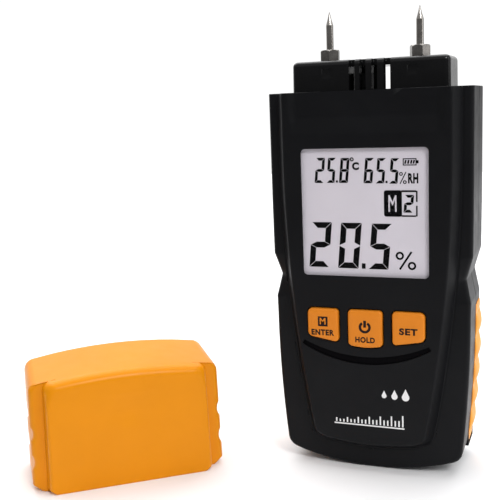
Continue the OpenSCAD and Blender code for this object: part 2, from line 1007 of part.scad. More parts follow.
module cap() {
    color("#f0a024")
        translate([cap_x, cap_y, 0])
            rotate([0, 0, cap_turn])
                difference() {
                    union() {
                        intersection() {
                            hull() {
                                slab(cap_wing_y, cap_wing_y + eps)
                                    polygon(cap_outline(cap_half_w, 2.4, 3, cap_fall));
                                slab(cap_back_y - eps, cap_back_y)
                                    polygon(cap_outline(cap_half_w, 2.4, 3));
                            }
                            linear_extrude(cap_h + cap_dome + 1)
                                polygon(rounded([
                                    [cap_half_w, cap_wing_y, 1.2], [cap_half_w, cap_back_y, 5],
                                    [-cap_half_w, cap_back_y, 5], [-cap_half_w, cap_wing_y, 1.2]
                                ]));
                        }
                        hull() {
                            slab(cap_panel_y, cap_panel_y + eps)
                                polygon(cap_outline(cap_panel_w, 1.4, 2, cap_fall + 1));
                            slab(cap_panel_y + 1, cap_wing_y + eps)
                                polygon(cap_outline(cap_step_w, 1.4, 3, cap_fall));
                        }
                    }
                    cap_space(
                        cap_half_w - cap_wall - 0.4, cap_wing_y + cap_wall, cap_back_y - cap_wall,
                        cap_fall + cap_wall, cap_wall
                    );
                    cap_space(
                        cap_panel_w - cap_wall, cap_panel_y + cap_wall, cap_wing_y + cap_wall + 1,
                        cap_fall + cap_wall + 0.6, cap_fall + cap_wall
                    );
                    // Scalloped finger hold in each side
                    for (side = [-1, 1], z = [10, 19.5])
                        translate([side * (cap_half_w - cap_taper * z / cap_h + 5.5), 2, z])
                            rotate([-90, 0, 0])
                                cylinder(h = cap_back_y, r = 6);
                }
}

front_shell();
rear_shell();
left_grip();
right_grip();
display_lens();
lcd_glass();
lcd_frame();
zebra_strip();
circuit_board();
board_screws();
main_chip();
crystal();
capacitors();
buzzer();
key_switches();
enter_button();
hold_button();
set_button();
probe_head();
head_seal();
electrode_sockets();
electrode_wires();
left_pin();
right_pin();
pin_nuts();
sensor_board();
humidity_sensor();
sensor_header();
battery_cells();
battery_springs();
battery_contacts();
battery_leads();
battery_cover();
case_screws();
cap();
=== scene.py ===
import contextlib
import math

import bmesh
import bpy
import numpy as np
from mathutils import Matrix, Vector


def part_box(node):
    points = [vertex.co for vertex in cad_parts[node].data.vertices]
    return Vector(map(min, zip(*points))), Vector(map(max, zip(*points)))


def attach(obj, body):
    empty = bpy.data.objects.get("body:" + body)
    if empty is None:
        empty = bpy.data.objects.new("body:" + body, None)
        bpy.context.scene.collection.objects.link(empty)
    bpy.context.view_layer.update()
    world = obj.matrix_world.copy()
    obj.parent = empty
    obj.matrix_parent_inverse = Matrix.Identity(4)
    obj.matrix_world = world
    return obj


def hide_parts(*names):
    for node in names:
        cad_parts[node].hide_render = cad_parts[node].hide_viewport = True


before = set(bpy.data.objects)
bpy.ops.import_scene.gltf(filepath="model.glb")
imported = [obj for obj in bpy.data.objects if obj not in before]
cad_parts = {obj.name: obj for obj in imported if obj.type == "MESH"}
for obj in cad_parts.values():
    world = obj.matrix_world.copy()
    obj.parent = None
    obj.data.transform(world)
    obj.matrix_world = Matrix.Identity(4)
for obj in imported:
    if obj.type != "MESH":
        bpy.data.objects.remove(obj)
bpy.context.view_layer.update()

# Lengths in this file are millimetres until a mesh, light or camera is made from them.
MM = 0.001


def box_mm(node):
    """The lowest and highest corner of a CAD node."""
    low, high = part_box(node)
    return np.array(low) / MM, np.array(high) / MM


# --- Sizes taken from the frame ---

FRONT_LOW, FRONT_HIGH = box_mm("front_shell")
REAR_HIGH = box_mm("rear_shell")[1]
HEAD_LOW, HEAD_HIGH = box_mm("probe_head")
HALF_W = REAR_HIGH[0]
PANEL_Y = FRONT_LOW[1]
BACK_Y = REAR_HIGH[1]
PARTING_Y = FRONT_HIGH[1]
SHOULDER_Z = REAR_HIGH[2]
PIN_LOW, PIN_HIGH = box_mm("right_pin")
PIN_X = (PIN_LOW[0] + PIN_HIGH[0]) / 2
PIN_TIP_Z = PIN_HIGH[2]
NUT_LOW_Z, NUT_HIGH_Z = (corner[2] for corner in box_mm("pin_nuts"))

# Shape of the case
WALL = 2.0
PANEL_RISE = 4.0
WING_Y = PANEL_Y + PANEL_RISE
FOOT_R = 78.0
FOOT_FLAT = 5.0
LOWER_R = 400.0
WAIST_Z = 50.0
WAIST_W = HALF_W - 0.7
PANEL_R = 470.0
PANEL_STRAIGHT_Z = 100.0
PANEL_FRONT_W = HALF_W - 5.6
PANEL_FOOT_W = HALF_W - 3.3
PANEL_LOW_Z = 9.2
GROOVE_W = 0.6
GROOVE_D = 0.06
NOTCH_Z = (54.5, 61.6, 68.5)
NOTCH_D = 1.9
VALLEY_D = 1.6
BROW_Z = (105.2, 110.8)
BROW_D = 1.0
BROW_HALF_W = 23.8
BROW_FADE = 2.6
SEAM = 0.22


# --- Paths in the XZ plane ---

def corner(a, b, c, radius, steps=8):
    """Points of the arc that rounds corner b between its neighbours a and c."""
    a, b, c = (np.array(p[:2], float) for p in (a, b, c))
    if radius == 0:
        return [b]
    u, w = (a - b) / np.linalg.norm(a - b), (c - b) / np.linalg.norm(c - b)
    half = math.acos(max(-1.0, min(1.0, float(u @ w)))) / 2
    if math.pi / 2 - half < 1e-4:
        return [b]
    middle = b + (u + w) / np.linalg.norm(u + w) * radius / math.sin(half)
    p, q = b + u * radius / math.tan(half) - middle, b + w * radius / math.tan(half) - middle
    start = math.atan2(p[1], p[0])
    turn = (math.atan2(q[1], q[0]) - start + math.pi) % (2 * math.pi) - math.pi
    angles = [start + turn * i / steps for i in range(steps + 1)]
    return [middle + radius * np.array([math.cos(t), math.sin(t)]) for t in angles]


def round_path(corners, steps=8):
    """An open path of (x, z, radius) corners with its inner corners rounded."""
    points = [np.array(corners[0][:2], float)]
    for a, b, c in zip(corners, corners[1:], corners[2:]):
        points += corner(a, b, c, b[2], steps)
    return np.array(points + [np.array(corners[-1][:2], float)])


def round_loop(corners, steps=8):
    """A closed outline of (x, z, radius) corners."""
    n = len(corners)
    points = []
    for i, b in enumerate(corners):
        points += corner(corners[i - 1], b, corners[(i + 1) % n], b[2], steps)
    return np.array(points)


def bar(x0, x1, z0, z1):
    return [(x1, z0), (x1, z1), (x0, z1), (x0, z0)]


def box_loop(x0, x1, z0, z1, radius):
    return round_loop([(x, z, radius) for x, z in bar(x0, x1, z0, z1)])


def shrunk(corners, distance):
    """The corners of an outline that runs inside the given one at an even distance."""
    moved = inset(np.array([c[:2] for c in corners], float), distance, True)
    return [(x, z, max(c[2] - distance, 0.1)) for (x, z), c in zip(moved, corners)]


def inset(path, distance, closed=False):
    """The path moved to its left by distance, with mitred corners."""
    before, after = np.roll(path, 1, axis=0), np.roll(path, -1, axis=0)
    if not closed:
        before[0] = 2 * path[0] - path[1]
        after[-1] = 2 * path[-1] - path[-2]
    t1, t2 = path - before, after - path
    t1 /= np.linalg.norm(t1, axis=1, keepdims=True)
    t2 /= np.linalg.norm(t2, axis=1, keepdims=True)
    n1, n2 = np.stack([-t1[:, 1], t1[:, 0]], 1), np.stack([-t2[:, 1], t2[:, 0]], 1)
    mitre = (n1 + n2) / np.maximum(1 + (n1 * n2).sum(1, keepdims=True), 0.3)
    return path + mitre * distance


def drawn_in(path, distance):
    """The case's outline shrunk towards its middle, so that sharp bends leave no folds."""
    middle = np.array([0, SHOULDER_Z / 2])
    return middle + (path - middle) * (1 - distance / HALF_W, 1 - distance / middle[1])


def at_depth(path, y):
    """The XZ path as points in space; y is one depth or one for each point."""
    return np.stack([path[:, 0], np.broadcast_to(y, len(path)), path[:, 1]], 1)


def at_depths(*pairs):
    return [at_depth(path, y) for path, y in pairs]


def toward(a, b):
    d = b - a
    return d / np.maximum(np.linalg.norm(d, axis=1, keepdims=True), 1e-9)


def filleted(rows, radii, steps=5):
    """Replaces each inner row that has a radius by an arc to its neighbours. A radius may differ by point."""
    out = [rows[0]]
    for before, row, after, radius in zip(rows, rows[1:], rows[2:], radii):
        if np.isscalar(radius) and radius == 0:
            out.append(row)
            continue
        reach = np.broadcast_to(radius, len(row)).reshape(-1, 1)
        u, w = toward(row, before), toward(row, after)
        start, end = row + u * reach, row + w * reach
        opening = np.maximum(1 + (u * w).sum(1, keepdims=True), 1e-3)
        centre = row + (u + w) * reach / opening
        a, b = start - centre, end - centre
        cosine = (a * b).sum(1, keepdims=True) / np.maximum((a * a).sum(1, keepdims=True), 1e-12)
        angle = np.arccos(np.clip(cosine, -1, 1))
        for i in range(steps + 1):
            t = i / steps
            bend = np.maximum(np.sin(angle), 1e-6)
            curved = centre + (np.sin((1 - t) * angle) * a + np.sin(t * angle) * b) / bend
            out.append(np.where(np.sin(angle) < 1e-3, start * (1 - t) + end * t, curved))
    return out + [rows[-1]]


# --- Meshes ---

@contextlib.contextmanager
def editing(mesh):
    """The mesh as a bmesh, which is written back at the end."""
    work = bmesh.new()
    work.from_mesh(mesh)
    yield work
    work.to_mesh(mesh)
    work.free()


def into_scene(name, data):
    """Puts an object with the given data into the scene."""
    thing = bpy.data.objects.new(name, data)
    bpy.context.scene.collection.objects.link(thing)
    return thing


def new_piece(name, verts, faces):
    """A mesh object with points in millimetres, without doubles and with its faces turned outward."""
    mesh = bpy.data.meshes.new(name)
    mesh.from_pydata([tuple(v) for v in np.asarray(verts, float) * MM], [], faces)
    with editing(mesh) as work:
        bmesh.ops.remove_doubles(work, verts=work.verts, dist=1e-6)
        bmesh.ops.dissolve_degenerate(work, edges=work.edges, dist=1e-6)
        bmesh.ops.recalc_face_normals(work, faces=work.faces)
    return into_scene(name, mesh)


def strips(first, row):
    """Faces that span a symmetric row from side to side; the last is the whole flat about its middle."""
    flat = int(np.argmax(np.abs(row[:, 2] - row[len(row) // 2, 2]) < 1e-4))
    last = first + len(row) - 1
    faces = [(first + i, first + i + 1, last - i - 1, last - i) for i in range(flat - 1)]
    return faces + [tuple(range(first + flat - 1, last - flat + 2))]


def row_faces(count, n, closed):
    faces = []
    for j in range(count - 1):
        for i in range(n if closed else n - 1):
            k = (i + 1) % n
            faces.append((j * n + i, j * n + k, (j + 1) * n + k, (j + 1) * n + i))
    return faces


def symmetric_solid(name, rows):
    """A solid of closed symmetric rows, with its two ends filled from side to side."""
    n, count = len(rows[0]), len(rows)
    faces = row_faces(count, n, True) + strips(0, rows[0]) + strips((count - 1) * n, rows[-1])
    return new_piece(name, np.vstack(rows), faces)


def faced_solid(name, rows, columns, depth):
    """A solid of open rows whose ends lie in one flat plane. Its last row is filled with a grid that
    depth(x, z) presses in; columns are shares of the way across."""
    n, count = len(rows[0]), len(rows)
    verts = list(np.vstack(rows))
    faces = row_faces(count, n, False) + strips(0, rows[0])
    last = (count - 1) * n
    lines = []
    for i in range(n // 2 - 1):
        start, end = rows[-1][i], rows[-1][n - 1 - i]
        line = [last + i]
        for share in columns:
            point = start + (end - start) * share
            point[1] += depth(point[0], point[2])
            line.append(len(verts))
            verts.append(point)
        lines.append(line + [last + n - 1 - i])
    for one, two in zip(lines, lines[1:]):
        faces += [(one[k], one[k + 1], two[k + 1], two[k]) for k in range(len(one) - 1)]
    middle = last + n // 2
    faces.append((*lines[-1], middle + 1, middle, middle - 1))
    edge = [j * n for j in range(count)]
    faces.append(edge + lines[0][1:-1] + [j + n - 1 for j in reversed(edge)])
    return new_piece(name, np.array(verts), faces)


def ring_solid(name, rings):
    """A solid of closed rings with a face over each end."""
    n, count = len(rings[0]), len(rings)
    faces = row_faces(count, n, True)
    faces += [tuple(range(n)), tuple(range((count - 1) * n, count * n))]
    return new_piece(name, np.vstack(rings), faces)


def prism(name, path, y0, y1):
    return ring_solid(name, at_depths((path, y0), (path, y1)))


def block(low, high):
    (x0, y0, z0), (x1, y1, z1) = low, high
    return prism("block", np.array(bar(x0, x1, z0, z1), float), y0, y1)


def circle(radius, count=32, centre=(0, 0)):
    turns = np.arange(count) * 2 * math.pi / count
    return np.stack([centre[0] + radius * np.cos(turns), centre[1] + radius * np.sin(turns)], 1)


def rods_y(places, y0, y1, radius):
    """Rods along Y at some (x, z) places."""
    return [prism("rod", circle(radius, 32, place), y0, y1) for place in places]


def lathe(name, profile, x, count=48):
    """Turns (radius, z) points about the upright axis through (x, 0)."""
    rings = []
    for radius, z in profile:
        ring = circle(radius, count, (x, 0))
        rings.append(np.stack([ring[:, 0], ring[:, 1], np.full(count, z)], 1))
    return ring_solid(name, rings)


def modify(piece, kind, **settings):
    """Adds a modifier that is named after its kind."""
    added = piece.modifiers.new(kind.lower(), kind)
    for name, value in settings.items():
        setattr(added, name, value)


def as_shown(thing):
    """A mesh of an object as its modifiers or its curve settings leave it."""
    graph = bpy.context.evaluated_depsgraph_get()
    return bpy.data.meshes.new_from_object(thing.evaluated_get(graph))


def baked(piece):
    """Applies the piece's modifiers."""
    mesh, old = as_shown(piece), piece.data
    piece.modifiers.clear()
    piece.data = mesh
    bpy.data.meshes.remove(old)


def carve(piece, *tools, operation="DIFFERENCE"):
    """Cuts the tools from a piece, or adds them to it, one after another, and uses them up."""
    for tool in tools:
        modify(piece, "BOOLEAN", solver="EXACT", operation=operation, object=tool)
        baked(piece)
        bpy.data.objects.remove(tool)
    without_slivers(piece.data)
    return piece


def joined(name, pieces):
    """One piece made of several separate solids."""
    data = bpy.data.meshes.new(name)
    with editing(data) as work:
        for piece in pieces:
            work.from_mesh(piece.data)
            bpy.data.objects.remove(piece)
    return into_scene(name, data)


def without_slivers(mesh):
    """Merges the points that cuts leave almost on top of one another."""
    with editing(mesh) as work:
        bmesh.ops.remove_doubles(work, verts=work.verts, dist=0.015 * MM)
        bmesh.ops.dissolve_degenerate(work, edges=work.edges, dist=0.01 * MM)


SHARP_ANGLE = 32


def soften(piece, width=0.2, segments=2, angle=SHARP_ANGLE):
    """Rounds the sharp edges a little, and lets the large faces decide the shading."""
    modify(
        piece, "BEVEL", width=width * MM, segments=segments, limit_method="ANGLE",
        angle_limit=math.radians(angle), use_clamp_overlap=False,
    )
    piece.data.shade_smooth()
    modify(piece, "WEIGHTED_NORMAL", keep_sharp=True, weight=50)
    return piece


def weigh_edges(piece, rounded_at):
    """Makes the bevel follow weights, so that sharp edges where rounded_at(x, z) is false stay sharp."""
    with editing(piece.data) as work:
        weights = work.edges.layers.float.new("bevel_weight_edge")
        for edge in work.edges:
            if edge.calc_face_angle(0) > math.radians(SHARP_ANGLE):
                middle = (edge.verts[0].co + edge.verts[1].co) / 2 / MM
                edge.smooth = rounded_at(middle.x, middle.z)
                edge[weights] = float(edge.smooth)
    piece.modifiers["bevel"].limit_method = "WEIGHT"


def soften_cad(node):
    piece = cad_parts[node]
    modify(piece, "WELD", merge_threshold=2e-6)
    modify(piece, "DECIMATE", decimate_type="DISSOLVE", angle_limit=math.radians(0.3))
    return soften(piece, 0.1)


def paint(piece, material):
    piece.data.materials.clear()
    piece.data.materials.append(material)
    return piece


def finish_piece(piece, slot, material, *nodes, body="meter"):
    """Gives a piece its material and body, and hides the CAD nodes that it stands for; the slot is not used.
    """
    paint(piece, material)
    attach(piece, body)
    if nodes:
        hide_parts(*nodes)
    return piece


# --- Materials ---

def new_material(name):
    material = bpy.data.materials.new(name)
    material.use_nodes = True
    nodes = material.node_tree.nodes
    return material, material.node_tree, nodes["Principled BSDF"]


def fill(tree, node, **inputs):
    """Sets a node's inputs, or links those whose value is a socket. A _ in a name stands for a space."""
    for name, value in inputs.items():
        socket = node.inputs[name.replace("_", " ")]
        if isinstance(value, bpy.types.NodeSocket):
            tree.links.new(value, socket)
        else:
            socket.default_value = value
    return node


def add_node(tree, kind, **inputs):
    return fill(tree, tree.nodes.new("ShaderNode" + kind), **inputs)


def object_space(tree):
    return tree.nodes.new("ShaderNodeTexCoord").outputs["Object"]


def noise(tree, scale, detail=2.0, stretch=(1, 1, 1)):
    """Noise in the object's own space; scale is in waves per millimetre."""
    sized = add_node(tree, "Mapping", Scale=[s / MM * scale for s in stretch], Vector=object_space(tree))
    texture = add_node(tree, "TexNoise", Scale=1.0, Detail=detail, Vector=sized.outputs["Vector"])
    return texture.outputs["Fac"]


def map_range(tree, value, from_low, from_high, low=0.0, high=1.0):
    ends = {"From_Min": from_low, "From_Max": from_high, "To_Min": low, "To_Max": high}
    return add_node(tree, "MapRange", Value=value, **ends)


def spread(tree, value, low, high):
    """Maps the middle of a noise to low … high."""
    return map_range(tree, value, 0.3, 0.7, low, high).outputs["Result"]


def blend_colours(tree, factor, first, second):
    """A colour between two others; the mix node's colour inputs are numbers 6 and 7."""
    mix = tree.nodes.new("ShaderNodeMix")
    mix.data_type = "RGBA"
    mix.inputs[6].default_value = (*first, 1)
    mix.inputs[7].default_value = (*second, 1)
    tree.links.new(factor, mix.inputs[0])
    return mix.outputs[2]


def surface(name, dark, light, colour_noise, rough, rough_noise, grain, strength, depth, **constants):
    """A material whose colour and gloss drift over the surface, with a fine bump whose noise is grain."""
    material, tree, shader = new_material(name)
    drift = spread(tree, noise(tree, *colour_noise), 0, 1)
    bump = add_node(tree, "Bump", Strength=strength, Distance=depth * MM, Height=noise(tree, *grain))
    fill(
        tree, shader, Base_Color=blend_colours(tree, drift, dark, light),
        Roughness=spread(tree, noise(tree, *rough_noise), *rough), Normal=bump.outputs["Normal"], **constants,
    )
    return material


def plastic(name, dark, light, rough, grain=4.0, strength=0.3, depth=0.02, specular=0.5, coat=0.0):
    """A moulded plastic: fine spark texture and a slow drift in colour and gloss."""
    gloss = {"Specular_IOR_Level": specular, "Coat_Weight": coat, "Coat_Roughness": 0.12}
    return surface(
        name, dark, light, (0.06, 3.0), rough, (0.22, 4.0), (grain, 3.0), strength, depth, **gloss
    )


def metal(name, colour, worn, rough, grain=2.0, stretch=(1, 1, 1), strength=0.15, depth=0.01):
    """A plain or brushed metal; stretch draws its grain out along an axis."""
    brushed = (grain, 3.0, stretch)
    return surface(
        name, colour, worn, (0.5, 4.0), rough, brushed, brushed, strength, depth, Metallic=1.0
    )


def clear(name):
    """Thin polished acrylic: it shows what is behind it and keeps a faint gloss of its own."""
    material, tree, shader = new_material(name)
    gloss = spread(tree, noise(tree, 0.3, 3.0), 0.05, 0.1)
    fill(tree, shader, Base_Color=(0.01, 0.01, 0.01, 1), Alpha=0.03, Specular_IOR_Level=0.5, Roughness=gloss)
    return material


CASE_BLACK = plastic(
    "case_black", (0.0042, 0.0043, 0.0052), (0.0056, 0.0058, 0.0068), (0.38, 0.46), 5.0, 0.35, 0.010, 0.12
)
HEAD_BLACK = plastic(
    "head_black", (0.004, 0.004, 0.0045), (0.006, 0.006, 0.0065), (0.16, 0.24), 2.0, 0.10, 0.006, 0.26
)
# Painted shade: a darker, duller black than the case, for the sheet laid in the bottom of the crescent
# groove.
GROOVE_SHADE_BLACK = plastic(
    "painted_groove_shade", (0.0016, 0.0014, 0.002), (0.0022, 0.002, 0.0026), (0.7, 0.8), 5.0, 0.2, 0.008, 0.04
)
CAP_ORANGE = plastic(
    "cap_orange", (0.70, 0.24, 0.0015), (0.74, 0.257, 0.002), (0.30, 0.38), 1.5, 0.06, 0.004, 0.16
)
KEY_ORANGE = plastic(
    "button_orange", (0.68, 0.205, 0.010), (0.73, 0.225, 0.012), (0.40, 0.5), 4.0, 0.2, 0.008, 0.25
)
GRIP_ORANGE = plastic(
    "orange_grip", (0.84, 0.30, 0.02), (0.9, 0.35, 0.03), (0.4, 0.55), 4.0, 0.25, 0.015, 0.4
)
PRINT_WHITE = plastic(
    "print_white", (0.78, 0.78, 0.78), (0.86, 0.86, 0.86), (0.45, 0.6), 5.0, 0.1, 0.005, 0.4
)
LEGEND_DARK = plastic(
    "legend_dark", (0.012, 0.006, 0.006), (0.016, 0.008, 0.008), (0.5, 0.6), 5.0, 0.1, 0.005, 0.15
)
LCD_INK = plastic(
    "lcd_ink", (0.001, 0.001, 0.0012), (0.0015, 0.0015, 0.002), (0.5, 0.6), 6.0, 0.05, 0.003, 0.08
)
LCD_FACE = plastic("lcd_face", (0.70, 0.66, 0.72), (0.73, 0.69, 0.75), (0.45, 0.6), 6.0, 0.1, 0.004, 0.15)
CLEAR_LENS = clear("clear_lens")
PIN_STEEL = metal(
    "pin_steel", (0.46, 0.435, 0.41), (0.34, 0.32, 0.295), (0.14, 0.26), 3.0, (1, 1, 6), 0.10, 0.003
)
FRAME_WHITE = plastic("frame_white", (0.72, 0.72, 0.70), (0.8, 0.8, 0.78), (0.4, 0.55), 4.0, 0.15, 0.01)
SILICONE = plastic("silicone", (0.30, 0.24, 0.33), (0.36, 0.30, 0.40), (0.5, 0.7), 4.0, 0.15, 0.01)
BOARD_GREEN = plastic(
    "board_green", (0.010, 0.085, 0.035), (0.016, 0.12, 0.05), (0.28, 0.42), 3.0, 0.2, 0.01
)
BOARD_DARK = plastic(
    "board_dark", (0.006, 0.012, 0.008), (0.010, 0.018, 0.012), (0.35, 0.5), 3.0, 0.2, 0.01, 0.3
)
CHIP_BLACK = plastic(
    "chip_black", (0.012, 0.012, 0.013), (0.022, 0.022, 0.024), (0.45, 0.65), 5.0, 0.3, 0.01
)
SLEEVE_BLUE = plastic(
    "capacitor_sleeve", (0.02, 0.04, 0.14), (0.03, 0.06, 0.2), (0.25, 0.4), 3.0, 0.1, 0.01
)
SEAL_RUBBER = plastic("seal_rubber", (0.010, 0.010, 0.010), (0.02, 0.02, 0.02), (0.6, 0.8), 5.0, 0.3, 0.02)
WIRE_RED = plastic("wire_red", (0.42, 0.012, 0.010), (0.52, 0.02, 0.015), (0.35, 0.5), 3.0, 0.15, 0.01)
CELL_WRAP = plastic(
    "cell_wrap", (0.03, 0.06, 0.14), (0.05, 0.09, 0.2), (0.2, 0.35), 2.0, 0.1, 0.01, 0.5, 0.2
)
SCREW_STEEL = metal("screw_steel", (0.42, 0.42, 0.43), (0.30, 0.30, 0.31), (0.25, 0.45), 3.0)
SPRING_STEEL = metal("bright_metal", (0.62, 0.62, 0.62), (0.48, 0.48, 0.49), (0.2, 0.38), 3.0)
BRASS = metal("brass", (0.62, 0.42, 0.14), (0.5, 0.32, 0.10), (0.22, 0.42), 3.0, (1, 1, 4))
NUT_STEEL = metal(
    "nut_steel", (0.28, 0.265, 0.25), (0.20, 0.19, 0.18), (0.24, 0.38), 4.0, (1, 1, 3), 0.15, 0.005
)


# --- Case outlines ---

SPLIT_Z = 16.0
LOW_COUNT = 52


def foot_sweep(x):
    return math.sqrt(FOOT_R**2 - FOOT_FLAT**2) - math.sqrt(FOOT_R**2 - x * x)


def lower_side(z):
    return WAIST_W - (WAIST_Z - z) ** 2 / (2 * LOWER_R)


def panel_side(top_w, z):
    return top_w - (max(0.0, PANEL_STRAIGHT_Z - z) ** 2 / (2 * PANEL_R))


def case_half():
    """The right half of the case's outline, from the middle of the foot up to the shoulder."""
    low_z, deep_z, high_z = NOTCH_Z
    foot = [(x, foot_sweep(x), 0) for x in np.linspace(FOOT_FLAT, 23, 13)]
    side = [(lower_side(z), z, 0) for z in np.linspace(13, 50, 14)]
    return round_path([
        (0, 0, 0), *foot, (lower_side(5), foot_sweep(lower_side(5)), 4), *side,
        (HALF_W - 0.6, low_z, 2), (HALF_W - 0.2 - NOTCH_D, deep_z, 1.5), (HALF_W - 0.1, high_z, 3),
        (HALF_W, 85, 0), (HALF_W, SHOULDER_Z, 0),
    ])


def panel_half(top_w, low_z, radius):
    """The right half of a raised panel's outline."""
    foot = [(x, low_z + x * x / (2 * FOOT_R), 0) for x in np.linspace(0, 14, 8)]
    side = [(panel_side(top_w, z), z, 0) for z in np.linspace(SPLIT_Z + 3, PANEL_STRAIGHT_Z, 34)]
    edge = (panel_side(top_w, low_z + 2), low_z + 2.2 + 0.5, radius)
    return round_path([*foot, edge, *side, (top_w, SHOULDER_Z, 0)])


def shared_levels():
    """Heights that every outline has a point at, close together where the case bends."""
    levels = list(np.arange(SPLIT_Z, SHOULDER_Z, 2.5)) + [SHOULDER_Z]
    for z, reach in zip(NOTCH_Z, (0.5, 0.9, 0.6)):
        levels += list(np.linspace(z - reach, z + reach, 7))
    for z in BROW_Z:
        levels += list(np.linspace(z - 1.2, z + 1.2, 9))
    levels = sorted(levels)
    return np.array([z for z, after in zip(levels, levels[1:] + [1e9]) if after - z > 0.08])


LEVELS = shared_levels()


def whole_row(half):
    """A whole outline from the left shoulder round the foot to the right one, its points at shared places."""
    upper = half[half[:, 1] >= SPLIT_Z - 8]
    rising = upper[np.argmax(np.diff(upper[:, 1]) > 0.3):]
    side = np.stack([np.interp(LEVELS, rising[:, 1], rising[:, 0]), LEVELS], 1)
    length = np.concatenate([[0], np.cumsum(np.linalg.norm(np.diff(half, axis=0), axis=1))])
    past = np.argmax(half[:, 1] > SPLIT_Z)
    share = (SPLIT_Z - half[past - 1, 1]) / (half[past, 1] - half[past - 1, 1])
    split = length[past - 1] + share * (length[past] - length[past - 1])
    where = np.linspace(0, split, LOW_COUNT + 1)[:-1]
    low = np.stack([np.interp(where, length, half[:, 0]), np.interp(where, length, half[:, 1])], 1)
    right = np.vstack([low, side])
    left = right[:0:-1] * (-1, 1)
    return np.vstack([left, right])


CASE_ROW = whole_row(case_half())
PANEL_FRONT_ROW = whole_row(panel_half(PANEL_FRONT_W, PANEL_LOW_Z, 3))
PANEL_FOOT_ROW = whole_row(panel_half(PANEL_FOOT_W, PANEL_LOW_Z - 2.4, 4))
GROOVE_ROW = whole_row(panel_half(PANEL_FOOT_W + GROOVE_W, PANEL_LOW_Z - 2.4 - GROOVE_W, 4.5))


def ease(t):
    t = np.clip(t, 0, 1)
    return t * t * (3 - 2 * t)


def valley(z):
    """How deep the waist notch cuts back the wings at height z."""
    return VALLEY_D * np.interp(z, NOTCH_Z, (0, 1, 0))


def brow_depth(x, z):
    """How far the panel steps back above the display; the step fades out towards the panel's sides."""
    low, high = BROW_Z
    ramp = [np.clip((z + k - low) / (high - low), 0, 1) for k in (-0.6, -0.3, 0, 0.3, 0.6)]
    return BROW_D * np.mean(ramp) * float(ease((BROW_HALF_W - abs(x)) / BROW_FADE))


# --- Case ---

SIDE_KEY_LOW, SIDE_KEY_HIGH = box_mm("set_button")
HOLD_KEY_LOW, HOLD_KEY_HIGH = box_mm("hold_button")
LENS_LOW, LENS_HIGH = box_mm("display_lens")
KEYS_X = (HOLD_KEY_LOW[0] + HOLD_KEY_HIGH[0]) / 2
KEY_FLANGE = 0.8
KEY_GAP = 0.25
LIP_T = 0.6
LENS_REBATE = 1.2
WINDOW_X = (LENS_LOW[0] + 1, LENS_HIGH[0] - 1)
WINDOW_Z = (LENS_LOW[2] + 1, LENS_HIGH[2] - 1)


def side_key_loop(shrink=0.0, side=1):
    """The outline of the right key, or of the left one with side -1."""
    x0, x1 = (SIDE_KEY_LOW[0] + KEY_FLANGE - KEYS_X, SIDE_KEY_HIGH[0] - KEY_FLANGE - KEYS_X)
    z0, z1 = SIDE_KEY_LOW[2] + KEY_FLANGE, SIDE_KEY_HIGH[2] - KEY_FLANGE
    loop = round_loop(shrunk([(x0, z1, 1.2), (x0, z0, 1.2), (x1, z0 + 1.7, 1.8), (x1, z1, 1.6)], shrink))
    return (loop if side > 0 else mirror_x(loop)) + (KEYS_X, 0)


def hold_key_loop(shrink=0.0):
    x1 = (HOLD_KEY_HIGH[0] - HOLD_KEY_LOW[0]) / 2 - KEY_FLANGE
    z0, z1 = HOLD_KEY_LOW[2] + KEY_FLANGE, HOLD_KEY_HIGH[2] - KEY_FLANGE
    corners = [(-x1, z1, 1.2), (-x1, z0 + 0.7, 1.4), (0, z0, 20), (x1, z0 + 0.7, 1.4), (x1, z1, 1.2)]
    return round_loop(shrunk(corners, shrink)) + (KEYS_X, 0)


def mirror_x(path):
    return path[::-1] * (-1, 1)


SMILE_R = 41.3
SMILE_CENTRE_Z = 77.5
SMILE_END = 28.6
SMILE_X = -0.7
SMILE_W = 1.2
SMILE_END_W = 0.7
SMILE_D = 0.8


def smile_path(slack=0.0):
    """The outline of the crescent under the buttons, fullest in the middle and blunt at its ends."""
    turns = np.linspace(-1, 1, 41)
    half_w = SMILE_END_W + (SMILE_W - SMILE_END_W) * np.cos(turns * math.pi / 2) ** 0.8 - slack
    angles = np.radians(SMILE_END * turns * (1 - slack / 20))
    outward = np.stack([np.sin(angles), -np.cos(angles)], 1)
    middle = np.array([SMILE_X, SMILE_CENTRE_Z])
    outer = middle + outward * (SMILE_R + half_w)[:, None]
    inner = middle + outward * (SMILE_R - half_w)[:, None]
    return np.vstack([outer, inner[::-1]])


def off_the_smile(x, z):
    """False along the crescent's own edges, which stay sharp."""
    return abs(math.hypot(x - SMILE_X, z - SMILE_CENTRE_Z) - SMILE_R) > SMILE_W + 0.3


def smile_shade_floor():
    """A dull black sheet in the bottom of the crescent: painted shade that makes the groove darker than its
    depth alone does.
    """
    floor = prism("smile_shade_floor", smile_path(0.02), PANEL_Y + SMILE_D - 0.35, PANEL_Y + SMILE_D + 0.02)
    finish_piece(floor, "case_black", GROOVE_SHADE_BLACK)


def neck_tool():
    inset_x = HEAD_LOW[0] + 2.5 - 0.2
    return block(
        (inset_x, HEAD_LOW[1] + 1.8, SHOULDER_Z - WALL - 1),
        (-inset_x, HEAD_HIGH[1] - 1.8, SHOULDER_Z + 1),
    )


CASE_SCREWS = [(24, 109.5), (-24, 109.5), (22.5, 20), (-22.5, 20)]
CASE_BOSS_R, CASE_BORE_R, BOARD_BOSS_R, BOARD_BORE_R = 2.6, 1.3, 2.2, 1.0
CASE_BORE_Y, BOARD_BORE_Y = -7, -9
POST_R, POST_BORE_R, WELL_R = 3.6, 1.5, 2.8
BOARD_Y = box_mm("circuit_board")[0][1]
BOARD_SCREWS = [(15, 108.5), (-15, 108.5), (19.5, 37), (-19.5, 37)]


